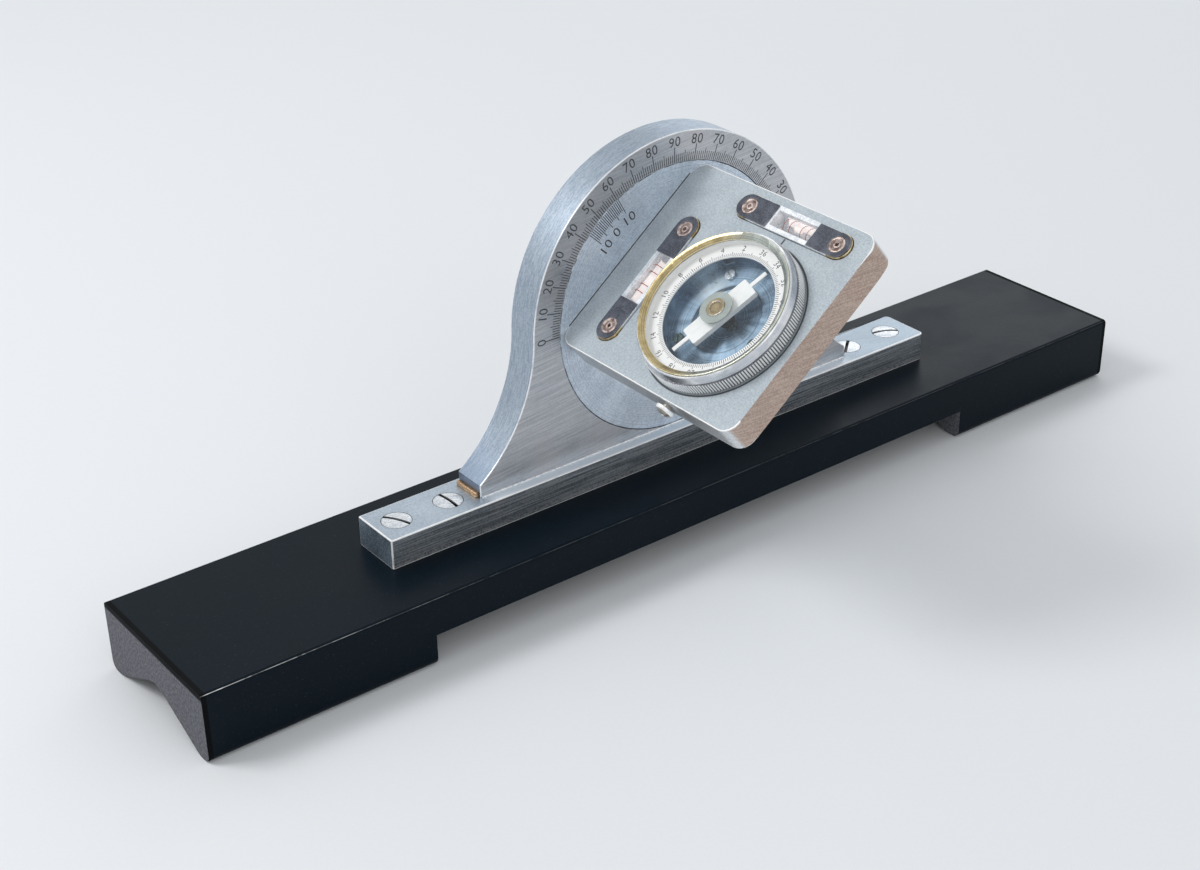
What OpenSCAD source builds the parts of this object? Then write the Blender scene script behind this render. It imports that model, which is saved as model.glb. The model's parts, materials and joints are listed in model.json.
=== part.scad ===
// Inclinometer calibrator: a grooved base bar, a protractor plate with a vernier disc,
// and a compass plate with two level vials that turns with the disc.
// X runs along the bar, Z is up, and the origin is the middle of the plane the bar stands on.

/* [Base bar] */
// Length of the base bar
base_l = 400; // [340:1:460]
// Width of the base bar
base_w = 64.5; // [62:0.5:68]
// Height of the base bar over its feet
base_h = 25; // [24:0.5:30]
// Length of each foot along the bar
foot_l = 81.5; // [60:0.5:90]
// Depth of the relief between the feet
relief_d = 11.5; // [11:0.1:12.5]
// Depth of the groove in the feet
groove_d = 11.3; // [10:0.1:11.8]
// Included angle of the groove
groove_deg = 130; // [128:1:134]
// Radius at the crown of the groove
crown_r = 9; // [5:0.5:10]
// Radius where a groove flank meets its land
tip_r = 5; // [2:0.5:6]
// Radius of the feet's outer lower edges
foot_r = 3; // [2:0.1:3.2]
// Radius of the long upper edges
edge_r = 1.4; // [0.5:0.1:3]

/* [Rail] */
// Length of the rail
rail_l = 239; // [230:1:260]
// Width of the rail
rail_w = 20; // [18:0.5:24]
// Height of the rail
rail_h = 10.9; // [10:0.1:14]
// Distance of the outer screws from the middle of the rail
outer_screw_x = 110; // [106:0.5:112]
// Distance of the inner screws from the middle of the rail
inner_screw_x = 90; // [88:0.5:94]
// Radius of a rail screw's head
rail_head_r = 5; // [4:0.1:6]

/* [Protractor plate] */
// Radius of the round top, and of the two hollow flanks
arch_r = 58.6; // [57:0.1:62]
// Height of the disc's axis over the rail
axis_over_rail = 48.4; // [48.4:0.1:52]
// Half width of the plate at its toes
toe_x = 82; // [80:0.5:84]
// Height of the flanks' centres over the disc's axis
flank_rise = 3; // [0:0.5:4]
// Front face of the plate
plate_front_y = -5.6; // [-6:0.1:-5]
// Thickness of the plate
plate_t = 12.8; // [12:0.1:14]

/* [Vernier disc] */
// Radius of the disc
disc_r = 48; // [46:0.1:48]
// Thickness of the disc
disc_t = 6; // [5:0.1:6.5]
// Angle between the compass plate and the base bar
tilt = 38.5; // [-90:0.5:90]
// Radius of the spindle's journal
journal_r = 14; // [10:0.5:18]

/* [Compass plate] */
// Half width of the compass plate
head_half_w = 38; // [37:0.5:39]
// Distance of the compass plate's outer edge from the base bar's middle plane
head_out_y = 90; // [86:0.5:94]
// Height of the compass plate's top over the disc's axis
head_top_n = 29.6; // [28:0.1:29.8]
// Thickness of the compass plate
head_t = 10.8; // [10:0.1:12]
// Radius of the compass plate's corners
head_corner_r = 5.5; // [4:0.5:8]
// Compass centre across the compass plate
compass_u = -6.5; // [-7.5:0.1:-5.5]
// Compass centre along the disc's axis
compass_y = -58.5; // [-59.5:0.1:-57.5]

/* [Compass] */
// Outer radius of the knurled ring
knurl_r = 28; // [27.6:0.1:28.4]
// Number of knurls
knurl_count = 180; // [120:1:200]
// Depth of the knurls
knurl_d = 0.45; // [0.3:0.05:0.6]
// Radius of the bowl's neck, which the ring turns on
neck_r = 23.2; // [22.8:0.1:23.4]
// Inner radius of the bowl
bowl_r = 20.4; // [20:0.1:21]
// Radius of the opening in the dial
dial_in_r = 19.6; // [19.2:0.1:19.8]
// Reach of the needle's tips from its pivot
needle_reach = 18.6; // [17:0.1:18.7]
// Direction of the needle, from the index line
needle_deg = -17.8; // [-180:0.1:180]

/* [Level vials] */
// Length of a vial's tray
tray_l = 50.4; // [48:0.2:51]
// Width of a vial's tray
tray_w = 9; // [8.4:0.1:9.4]
// Radius of an ampoule
ampoule_r = 2.6; // [2.4:0.1:2.7]
// Length of an ampoule
ampoule_l = 19.4; // [18.8:0.2:20.4]
// Distance of a clip's inner end from the vial's middle
clip_in = 9.4; // [8:0.1:11]

/* [Hidden] */
$fn = 96;
over = 1;

rail_top_z = base_h + rail_h;
axis_z = rail_top_z + axis_over_rail;
plate_back_y = plate_front_y + plate_t;

// Clearances: round a shaft in its bore, and between faces that pass each other
bore_gap = 0.05;
face_gap = 0.2;

// Base bar's section
slope = 90 - groove_deg / 2;
groove_half = (groove_d + crown_r * (1 / cos(slope) - 1)) / tan(slope);
tip_reach = tip_r * tan(slope / 2);
relief_half = base_l / 2 - foot_l;

// Rail screws: a raised head in a counterbore
rail_head_t = 3.2;
rail_shank_r = 2.9;
rail_screw_l = 21;
rail_slot_w = 1.2;
rail_slot_d = 1.2;
rail_slot_deg = [-62, -87, 40, -25];
screw_shift = -1.2;
rail_screw_x = [for (x = [-outer_screw_x, -inner_screw_x, inner_screw_x, outer_screw_x]) x + screw_shift];
dome_r = 26;

// Spindle, from the disc to the nut behind the plate
spigot_r = 6;
stud_r = 9;
stud_l = 9.6;
washer_r = 18;
washer_t = 1;
thrust_t = 1.6;
nut_r = 14;
nut_t = 6;
nut_slot_w = 3;
nut_slot_d = 2.5;
disc_back_y = plate_front_y + disc_t;
pocket_floor_y = disc_back_y + face_gap;
washer_y = plate_back_y + bore_gap;
thrust_y = washer_y + washer_t;
nut_y = thrust_y + thrust_t;

// The compass plate's two sides, across from the disc's axis
head_side_u = [-head_half_w - 0.5, head_half_w - 0.4];

// Screws that hold the compass plate on the disc
head_screw_u = [-24, 0, 24];
head_screw_r = 2;
head_screw_head_r = 3.8;
head_screw_l = 10;

// Heights over the compass plate's top, and radii, of the compass
seat_r = 24;
seat_d = 3.2;
floor_h = -1;
well_r = 12.3;
well_h = -1.9;
neck_h = 3.5;
ring_h = 0.3;
valley_r = knurl_r - knurl_d;
lip_r = valley_r - 0.1;
lip_h = 0.4;
knurl_top_h = 4.8;
shoulder_h = 5.2;
shoulder_r = 27.4;
crown_top_r = 26.9;
ring_top_h = 8;
rim_r = 26.3;
rim_foot_h = 7;
rim_foot_r = 24;
rim_top_h = 8.5;
rim_top_r = 26;
glass_r = 25;
glass_h = 6.35;
dial_h = 3.8;
dial_t = 0.6;
dial_wall = 0.6;
retainer_h = 1.6;
retainer_w = 0.8;
retainer_in_r = 22.7;
retainer_gap = 0.2;
bowl_screw_deg = [36, 140, 258];
bowl_screw_at = 16.4;
bowl_screw_r = 1.8;
bowl_shank_r = 0.9;
notch_w = 3.2;
notch_d = 3.2;

// Needle
blade_w = 1.6;
blade_t = 0.5;
bar_l = 25;
bar_w = 7.6;
bar_t = 1.8;
bar_h = 1.7;
bar_corner = 0.4;
hub_r = 5.7;
hub_h = 5.4;
hub_t = 0.4;
cap_r = 2.3;
cap_head_r = 3.3;
cap_dish_r = 1.8;
cap_top_h = 6.1;
cap_hollow_r = 1.5;
cap_hollow_top_h = 4.9;
point_h = 4.8;
post_r = 1;
post_foot_h = -9.5;

// Needle lock: an eccentric screw under a hinged lever
lock_y = 1;
lock_h = -head_t / 2;
lock_r = 1.5;
lock_stand = 1.2;
lock_head_r = 3.2;
lock_head_t = 2.2;
lock_dome_r = 4.2;
lock_slot_d = 1;
lock_tip_r = 0.7;
lock_throw = 0.35;
lock_side_x = head_side_u[0] - compass_u;
channel_w = 7;
channel_h = -6.8;
channel_x = [-19.2, 17];
lever_h = -4.95;
lever_t = 0.6;
lever_w = 5;
lever_end_x = -17.5;
pin_x = 13;
pin_h = -4.9;
pin_r = 0.6;
pin_l = 9.2;
peg_y = 4;
eye_r = 1.2;
collar_r = 2;
collar_bore_r = 1.3;
collar_top_h = 1.1;
collar_hole_r = 2.5;

// Level vials
vial_d = 8;
slot_gap = 0.2;
tray_h = 0.8;
trough_r = 2.8;
trough_h = -1.65;
trough_l = 20.6;
glass_wall = 0.6;
clip_t = 0.4;
clip_w = 8.6;
clip_screw_x = 20;
clip_screw_r = 2.9;
clip_screw_t = 1;
clip_shank_r = 1.2;
clip_slot_deg = [[20, 65], [50, -15]];
bubble_r = 0.9;
bubble_l = 3.6;
vial_place = [[0, 37.3, 0], [36.2, 0.3, 90]];
ampoule_x = [0, -1.75];

// Moves a shape from the disc's frame (u across the compass plate, y, n) to the part's frame
module on_disc() {
    translate([0, 0, axis_z]) rotate([0, -tilt, 0]) children();
}

// Moves a shape from the compass centre on the compass plate's top to the part's frame
module on_compass() {
    on_disc() translate([compass_u, compass_y, head_top_n]) children();
}

// Moves a shape from the middle of vial i to the part's frame
module on_vial(i) {
    on_compass() in_vial(i) children();
}

module in_vial(i) {
    translate([vial_place[i][0], vial_place[i][1], 0]) rotate([0, 0, vial_place[i][2]]) children();
}

// A round bar along Y from y0 to y1
module along_y(r, y0, y1) {
    translate([0, y0, 0]) rotate([-90, 0, 0]) cylinder(r = r, h = y1 - y0);
}

// A round bar along X from x0 to x1
module along_x(r, x0, x1) {
    translate([x0, 0, 0]) rotate([0, 90, 0]) cylinder(r = r, h = x1 - x0);
}

// A cheese head on its shank, with a slot, its top at z = 0
module slotted_screw(head_r, head_t, shank_r, length, slot_w, slot_d, slot_deg) {
    difference() {
        union() {
            translate([0, 0, -head_t]) cylinder(r = head_r, h = head_t);
            translate([0, 0, -length]) cylinder(r = shank_r, h = length);
        }
        rotate([0, 0, slot_deg]) translate([-head_r - over, -slot_w / 2, -slot_d])
            cube([2 * (head_r + over), slot_w, slot_d + over]);
    }
}

// Base bar

module bar_outline() {
    half = base_w / 2;
    translate([-half, foot_r]) square([base_w, base_h - foot_r - edge_r]);
    translate([foot_r - half, 0]) square([base_w - 2 * foot_r, base_h / 2]);
    translate([edge_r - half, base_h / 2]) square([base_w - 2 * edge_r, base_h / 2]);
    for (side = [-1, 1]) {
        translate([side * (half - foot_r), foot_r]) circle(r = foot_r);
        translate([side * (half - edge_r), base_h - edge_r]) circle(r = edge_r);
    }
}

// The groove's section: two flanks that touch a round crown
module groove_section() {
    flank_top = [crown_r * sin(slope), groove_d - crown_r * (1 - cos(slope))];
    translate([0, groove_d - crown_r]) circle(r = crown_r);
    polygon([
        [-groove_half, -over], [-groove_half, 0], [-flank_top[0], flank_top[1]],
        flank_top, [groove_half, 0], [groove_half, -over]
    ]);
    for (side = [0, 1]) mirror([side, 0]) difference() {
        polygon([
            [groove_half - tip_reach * cos(slope), tip_reach * sin(slope)],
            [groove_half, -over],
            [groove_half + tip_reach, 0]
        ]);
        translate([groove_half + tip_reach, tip_r]) circle(r = tip_r);
    }
}

module base_bar() {
    color([0.09, 0.1, 0.11]) difference() {
        rotate([90, 0, 90]) linear_extrude(height = base_l, center = true) difference() {
            bar_outline();
            groove_section();
        }
        translate([-relief_half, -base_w / 2 - over, -over])
            cube([2 * relief_half, base_w + 2 * over, relief_d + over]);
        for (x = rail_screw_x) translate([x, 0, rail_top_z - rail_screw_l])
            cylinder(r = rail_shank_r, h = rail_screw_l);
    }
}

// Rail

module rail() {
    color([0.78, 0.8, 0.82]) difference() {
        translate([-rail_l / 2, -rail_w / 2, base_h]) cube([rail_l, rail_w, rail_h]);
        for (x = rail_screw_x) translate([x, 0, rail_top_z]) {
            translate([0, 0, -rail_head_t]) cylinder(r = rail_head_r + face_gap, h = rail_head_t + over);
            translate([0, 0, -rail_h - over]) cylinder(r = rail_shank_r + face_gap, h = rail_h + over);
        }
    }
}

module rail_screw(slot_deg) {
    dome_rise = dome_r - sqrt(dome_r * dome_r - rail_head_r * rail_head_r);
    difference() {
        union() {
            intersection() {
                translate([0, 0, -rail_head_t]) cylinder(r = rail_head_r, h = rail_head_t + dome_rise);
                translate([0, 0, dome_rise - dome_r]) sphere(r = dome_r);
            }
            translate([0, 0, -rail_screw_l]) cylinder(r = rail_shank_r, h = rail_screw_l - over);
        }
        rotate([0, 0, slot_deg]) translate([-rail_head_r - over, -rail_slot_w / 2, -rail_slot_d])
            cube([2 * (rail_head_r + over), rail_slot_w, 2 * rail_slot_d + dome_rise]);
    }
}

module rail_screws() {
    color([0.8, 0.82, 0.84]) for (i = [0:3])
        translate([rail_screw_x[i], 0, rail_top_z]) rail_screw(rail_slot_deg[i]);
}

// Protractor plate

module plate_outline() {
    flank_x = sqrt(4 * arch_r * arch_r - flank_rise * flank_rise);
    intersection() {
        circle(r = arch_r);
        translate([-arch_r, -axis_over_rail]) square([2 * arch_r, axis_over_rail + arch_r]);
    }
    difference() {
        translate([-toe_x, -axis_over_rail]) square([2 * toe_x, axis_over_rail + flank_rise]);
        for (side = [-1, 1]) translate([side * flank_x, flank_rise]) circle(r = arch_r);
    }
}

module protractor_plate() {
    color([0.62, 0.62, 0.63]) translate([0, 0, axis_z]) difference() {
        translate([0, plate_back_y, 0]) rotate([90, 0, 0]) linear_extrude(height = plate_t) plate_outline();
        along_y(disc_r + face_gap, plate_front_y - over, pocket_floor_y);
        along_y(journal_r + bore_gap, plate_front_y, plate_back_y + over);
    }
}

// Vernier disc and what holds it in the plate

module vernier_disc() {
    color([0.68, 0.71, 0.74]) on_disc() difference() {
        along_y(disc_r, plate_front_y, disc_back_y);
        along_y(spigot_r, plate_front_y - over, disc_back_y + over);
        for (u = head_screw_u) translate([u, 0, head_top_n - head_t / 2]) head_screw();
    }
}

module disc_spindle() {
    color([0.72, 0.72, 0.72]) on_disc() union() {
        along_y(spigot_r, plate_front_y, disc_back_y + over);
        along_y(journal_r, disc_back_y, plate_back_y + bore_gap);
        along_y(stud_r, plate_back_y, plate_back_y + stud_l);
    }
}

module friction_washer() {
    color([0.72, 0.6, 0.4]) on_disc() difference() {
        along_y(washer_r, washer_y, thrust_y);
        along_y(stud_r, washer_y - over, thrust_y + over);
    }
}

module thrust_washer() {
    color([0.75, 0.76, 0.78]) on_disc() difference() {
        along_y(washer_r - over, thrust_y, nut_y);
        along_y(stud_r, thrust_y - over, nut_y + over);
    }
}

module spindle_nut() {
    color([0.7, 0.71, 0.73]) on_disc() difference() {
        along_y(nut_r, nut_y, nut_y + nut_t);
        along_y(stud_r, nut_y - over, nut_y + nut_t + over);
        for (a = [0, 90]) rotate([0, a, 0])
            translate([-nut_r - over, nut_y + nut_t - nut_slot_d, -nut_slot_w / 2])
                cube([2 * (nut_r + over), nut_slot_d + over, nut_slot_w]);
    }
}

module head_screw() {
    rotate([-90, 0, 0]) rotate_extrude() polygon([
        [0, plate_front_y - head_screw_l],
        [head_screw_r, plate_front_y - head_screw_l],
        [head_screw_r, disc_back_y - head_screw_head_r + head_screw_r],
        [head_screw_head_r, disc_back_y],
        [0, disc_back_y]
    ]);
}

module head_screws() {
    color([0.5, 0.5, 0.52]) on_disc() for (u = head_screw_u)
        translate([u, 0, head_top_n - head_t / 2]) head_screw();
}

// Compass plate, drawn from the compass centre on its top

module compass_plate() {
    x0 = head_side_u[0] - compass_u;
    x1 = head_side_u[1] - compass_u;
    y0 = -head_out_y - compass_y;
    y1 = plate_front_y - compass_y;
    r = head_corner_r;
    color([0.75, 0.79, 0.81]) on_compass() difference() {
        translate([0, 0, -head_t]) union() {
            translate([x0 + r, y0, 0]) cube([x1 - x0 - 2 * r, y1 - y0, head_t]);
            translate([x0, y0 + r, 0]) cube([x1 - x0, y1 - y0 - 2 * r, head_t]);
            for (x = [x0 + r, x1 - r], y = [y0 + r, y1 - r]) translate([x, y, 0]) cylinder(r = r, h = head_t);
        }
        translate([0, 0, -seat_d]) cylinder(r = seat_r, h = seat_d + over);
        translate([channel_x[0], -channel_w / 2, channel_h])
            cube([channel_x[1] - channel_x[0], channel_w, -channel_h - seat_d + over]);
        translate([0, 0, post_foot_h]) cylinder(r = post_r, h = -post_foot_h);
        translate([pin_x, 0, pin_h]) along_y(pin_r, -pin_l / 2, pin_l / 2);
        translate([pin_x - pin_r, -pin_l / 2, pin_h]) cube([2 * pin_r, pin_l, -pin_h]);
        translate([0, lock_y, lock_h]) along_x(lock_r + bore_gap, x0 - over, channel_x[0] + over);
        for (a = bowl_screw_deg) rotate([0, 0, a]) translate([bowl_screw_at, 0, -head_t + over])
            cylinder(r = bowl_shank_r, h = head_t);
        for (i = [0, 1]) in_vial(i) {
            translate([0, 0, -vial_d]) obround(tray_l + 2 * slot_gap, tray_w + 2 * slot_gap, vial_d + over);
            for (x = [-clip_screw_x, clip_screw_x]) translate([x, 0, -head_t + over])
                cylinder(r = clip_shank_r, h = head_t);
        }
        for (u = head_screw_u) translate([u - compass_u, -compass_y, -head_t / 2]) head_screw();
    }
}

// A slab with round ends, along X
module obround(l, w, h) {
    translate([w / 2 - l / 2, -w / 2, 0]) cube([l - w, w, h]);
    for (x = [w / 2 - l / 2, l / 2 - w / 2]) translate([x, 0, 0]) cylinder(r = w / 2, h = h);
}

// Compass bowl, with two pegs that hold the lifter's pin down; its screws, the needle's
// pivot and the wire that keeps the ring on

module compass_bowl() {
    color([0.42, 0.5, 0.58]) on_compass() difference() {
        union() {
            rotate_extrude() polygon([
                [collar_hole_r, -seat_d], [seat_r, -seat_d], [seat_r, 0], [neck_r, 0],
                [neck_r, retainer_h], [retainer_in_r, retainer_h],
                [retainer_in_r, retainer_h + retainer_w], [neck_r, retainer_h + retainer_w],
                [neck_r, neck_h], [bowl_r, neck_h], [bowl_r, floor_h], [well_r, floor_h],
                [well_r - 0.6, well_h], [collar_hole_r, well_h]
            ]);
            for (y = [-peg_y, peg_y]) translate([pin_x, y, pin_h + pin_r])
                cylinder(r = pin_r - bore_gap, h = -seat_d - pin_h - pin_r + over);
        }
        for (a = bowl_screw_deg) rotate([0, 0, a]) {
            translate([bowl_screw_at, 0, -seat_d - over]) cylinder(r = bowl_shank_r, h = seat_d);
            translate([bowl_r - over, -notch_w / 2, neck_h - notch_d])
                cube([retainer_in_r - bowl_r + over / 2, notch_w, notch_d + over]);
        }
    }
}

module bowl_screws() {
    color([0.72, 0.74, 0.77]) on_compass() for (i = [0:2]) rotate([0, 0, bowl_screw_deg[i]])
        translate([bowl_screw_at, 0, floor_h + over]) slotted_screw(bowl_screw_r, over, bowl_shank_r,
            head_t + floor_h, 0.5, 0.5, 30 + 50 * i);
}

module needle_pivot() {
    color([0.8, 0.78, 0.7]) on_compass() rotate_extrude() polygon([
        [0, post_foot_h], [post_r, post_foot_h], [post_r, bar_h], [0, point_h]
    ]);
}

module ring_retainer() {
    color([0.6, 0.6, 0.6]) on_compass() rotate_extrude()
        translate([retainer_in_r, retainer_h]) square([retainer_w, retainer_w]);
}

// Ring that turns on the bowl's neck, with the dial, the glass and its rim

function knurl_points() = [for (i = [0:2 * knurl_count - 1])
    let (a = 180 * i / knurl_count, r = i % 2 == 0 ? knurl_r : valley_r) r * [cos(a), sin(a)]];

module knurled_ring() {
    bore_r = neck_r + bore_gap;
    groove_r = retainer_in_r + retainer_w + retainer_gap;
    color([0.78, 0.78, 0.8]) on_compass() union() {
        difference() {
            translate([0, 0, ring_h + lip_h]) linear_extrude(height = knurl_top_h - ring_h - lip_h)
                polygon(knurl_points());
            cylinder(r = rim_r, h = knurl_top_h + over);
        }
        rotate_extrude() polygon([
            [bore_r, ring_h], [lip_r, ring_h], [lip_r, shoulder_h], [shoulder_r, shoulder_h],
            [crown_top_r, ring_top_h - 0.3], [crown_top_r - 0.3, ring_top_h], [rim_r, ring_top_h],
            [rim_r, rim_foot_h], [glass_r, rim_foot_h], [glass_r, dial_h], [bore_r, dial_h],
            [bore_r, retainer_h + retainer_w + retainer_gap], [groove_r, retainer_h + retainer_w + retainer_gap],
            [groove_r, retainer_h - retainer_gap], [bore_r, retainer_h - retainer_gap]
        ]);
    }
}

module azimuth_dial() {
    color([0.95, 0.95, 0.93]) on_compass() rotate_extrude() polygon([
        [dial_in_r, dial_h], [glass_r, dial_h], [glass_r, glass_h], [glass_r - dial_wall, glass_h],
        [glass_r - dial_wall, dial_h + dial_t], [dial_in_r, dial_h + dial_t]
    ]);
}

module cover_glass() {
    color([0.85, 0.92, 0.95, 0.4]) on_compass() translate([0, 0, glass_h])
        cylinder(r = glass_r, h = rim_foot_h - glass_h);
}

module brass_rim() {
    color([0.75, 0.62, 0.32]) on_compass() rotate_extrude() polygon([
        [rim_foot_r, rim_foot_h], [rim_r, rim_foot_h], [rim_r, rim_top_h - 0.15], [rim_r - 0.15, rim_top_h],
        [rim_top_r, rim_top_h], [rim_foot_r, rim_foot_h + 0.25]
    ]);
}

// Needle

module needle_bar() {
    half_l = bar_l / 2;
    half_w = bar_w / 2;
    quarter = [[half_l, half_w - bar_corner], [half_l - bar_corner, half_w]];
    half = concat(quarter, [for (p = [quarter[1], quarter[0]]) [-p[0], p[1]]]);
    outline = concat(half, [for (i = [3:-1:0]) [half[i][0], -half[i][1]]]);
    color([0.96, 0.96, 0.95]) on_compass() rotate([0, 0, needle_deg]) difference() {
        union() {
            translate([0, 0, bar_h]) linear_extrude(height = bar_t) polygon(outline);
            translate([-needle_reach, -blade_w / 2, bar_h + bar_t - blade_t])
                cube([2 * needle_reach, blade_w, blade_t]);
        }
        cylinder(r = cap_r, h = cap_top_h);
    }
}

module needle_hub() {
    color([0.7, 0.8, 0.85, 0.6]) on_compass() translate([0, 0, hub_h]) difference() {
        cylinder(r = hub_r, h = hub_t);
        translate([0, 0, -over]) cylinder(r = cap_r, h = hub_t + 2 * over);
    }
}

module needle_cap() {
    color([0.72, 0.58, 0.3]) on_compass() rotate_extrude() polygon([
        [cap_hollow_r, bar_h], [cap_r, bar_h], [cap_r, hub_h + hub_t], [cap_head_r, hub_h + hub_t],
        [cap_head_r, cap_top_h - 0.15], [cap_head_r - 0.15, cap_top_h], [cap_dish_r + 0.3, cap_top_h],
        [cap_dish_r, cap_top_h - 0.3], [0, cap_top_h - 0.3], [0, cap_hollow_top_h], [0.2, cap_hollow_top_h]
    ]);
}

// Needle lock

module lock_screw() {
    head_x = lock_side_x - lock_stand;
    color([0.8, 0.8, 0.78]) on_compass() translate([0, lock_y, lock_h]) difference() {
        union() {
            intersection() {
                along_x(lock_head_r, head_x - lock_head_t, head_x);
                translate([head_x - lock_head_t + lock_dome_r, 0, 0]) sphere(r = lock_dome_r);
            }
            along_x(lock_r, head_x - over / 2, channel_x[0]);
            translate([0, 0, -lock_throw]) along_x(lock_tip_r, channel_x[0] - over, lever_end_x + 2);
        }
        translate([head_x - lock_head_t - over, -lock_head_r - over, -0.5])
            cube([over + lock_slot_d, 2 * (lock_head_r + over), 1]);
    }
}

module needle_lifter() {
    color([0.5, 0.52, 0.5]) on_compass() difference() {
        union() {
            translate([lever_end_x, -lever_w / 2, lever_h]) cube([pin_x - lever_end_x, lever_w, lever_t]);
            translate([pin_x, 0, pin_h]) along_y(eye_r, -lever_w / 2, lever_w / 2);
            translate([0, 0, lever_h]) cylinder(r = collar_r, h = collar_top_h - lever_h);
        }
        translate([0, 0, lever_h - over]) cylinder(r = collar_bore_r, h = collar_top_h - lever_h + 2 * over);
        translate([pin_x, 0, pin_h]) along_y(pin_r + bore_gap, -lever_w, lever_w);
    }
}

module lifter_pin() {
    color([0.7, 0.7, 0.7]) on_compass() translate([pin_x, 0, pin_h]) along_y(pin_r, -pin_l / 2, pin_l / 2);
}

// Level vials

module vial_tray(i) {
    color([0.74, 0.6, 0.36]) on_vial(i) difference() {
        translate([0, 0, -vial_d]) obround(tray_l, tray_w, vial_d + tray_h);
        translate([ampoule_x[i], 0, trough_h]) {
            along_x(trough_r, -trough_l / 2, trough_l / 2);
            translate([-trough_l / 2, -trough_r, 0]) cube([trough_l, 2 * trough_r, tray_h - trough_h + over]);
        }
        for (x = [-clip_screw_x, clip_screw_x]) translate([x, 0, tray_h + clip_t]) {
            translate([0, 0, -clip_screw_t]) cylinder(r = clip_screw_r, h = clip_screw_t + over);
            translate([0, 0, -head_t]) cylinder(r = clip_shank_r, h = head_t);
        }
    }
}

// A closed round tube along X with round ends
module capsule(r, l) {
    along_x(r, r - l / 2, l / 2 - r);
    for (x = [r - l / 2, l / 2 - r]) translate([x, 0, 0]) sphere(r = r);
}

module in_trough(i) {
    translate([ampoule_x[i], 0, trough_h - trough_r + ampoule_r]) children();
}

module ampoule(i) {
    color([0.85, 0.92, 0.92, 0.4]) on_vial(i) in_trough(i) difference() {
        capsule(ampoule_r, ampoule_l);
        capsule(ampoule_r - glass_wall, ampoule_l - 2 * glass_wall);
    }
}

module spirit(i) {
    inner_r = ampoule_r - glass_wall;
    color([0.95, 0.93, 0.85, 0.5]) on_vial(i) in_trough(i) difference() {
        capsule(inner_r, ampoule_l - 2 * glass_wall);
        translate([0, 0, inner_r - bubble_r - 0.1]) capsule(bubble_r, bubble_l);
    }
}

module vial_clips(i) {
    color([0.14, 0.15, 0.18]) on_vial(i) for (side = [0, 180]) rotate([0, 0, side])
        translate([0, 0, tray_h]) difference() {
            union() {
                end_x = tray_l / 2 - tray_w / 2;
                translate([clip_in, -clip_w / 2, 0]) cube([end_x - clip_in, clip_w, clip_t]);
                translate([end_x, 0, 0]) cylinder(r = clip_w / 2, h = clip_t);
            }
            translate([clip_screw_x, 0, -over]) cylinder(r = clip_screw_r + 0.1, h = clip_t + 2 * over);
        }
}

// A turned head with a ring round a small boss, and a short slot in the boss
module clip_screw(slot_deg) {
    boss_r = 1.15;
    difference() {
        rotate_extrude() polygon([
            [0, -head_t], [clip_shank_r, -head_t], [clip_shank_r, -clip_screw_t],
            [clip_screw_r, -clip_screw_t], [clip_screw_r, -0.1], [clip_screw_r - 0.1, 0],
            [clip_screw_r - 0.6, 0], [clip_screw_r - 0.9, -0.25], [boss_r + 0.15, -0.25], [boss_r, -0.05], [0, -0.05]
        ]);
        rotate([0, 0, slot_deg]) translate([-0.8, -0.25, -0.6]) cube([1.6, 0.5, 0.6 + over]);
    }
}

module vial_screws(i) {
    color([0.72, 0.6, 0.45]) on_vial(i) for (k = [0, 1])
        translate([(2 * k - 1) * clip_screw_x, 0, tray_h + clip_t]) clip_screw(clip_slot_deg[i][k]);
}

module vial_1_tray() { vial_tray(0); }
module vial_1_ampoule() { ampoule(0); }
module vial_1_spirit() { spirit(0); }
module vial_1_clips() { vial_clips(0); }
module vial_1_screws() { vial_screws(0); }
module vial_2_tray() { vial_tray(1); }
module vial_2_ampoule() { ampoule(1); }
module vial_2_spirit() { spirit(1); }
module vial_2_clips() { vial_clips(1); }
module vial_2_screws() { vial_screws(1); }

base_bar();
rail();
rail_screws();
protractor_plate();
vernier_disc();
disc_spindle();
friction_washer();
thrust_washer();
spindle_nut();
head_screws();
compass_plate();
compass_bowl();
bowl_screws();
needle_pivot();
ring_retainer();
lifter_pin();
vial_1_tray();
vial_1_ampoule();
vial_1_spirit();
vial_1_clips();
vial_1_screws();
vial_2_tray();
vial_2_ampoule();
vial_2_spirit();
vial_2_clips();
vial_2_screws();
knurled_ring();
azimuth_dial();
cover_glass();
brass_rim();
needle_bar();
needle_hub();
needle_cap();
lock_screw();
needle_lifter();
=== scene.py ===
# %% [markdown]
# # Dressing an inclinometer calibrator
# The object is a bench instrument: a black grooved bar, a bright rail, an upright protractor
# plate, and a disc in it that carries a thick plate with a compass and two level vials.
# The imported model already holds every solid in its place, in metres. This lesson gives each
# one its edges, its engraving and its finish, and leaves the sizes as they are.

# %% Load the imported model
import json
import math

import bmesh
import bpy
from mathutils import Matrix, Vector


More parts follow.
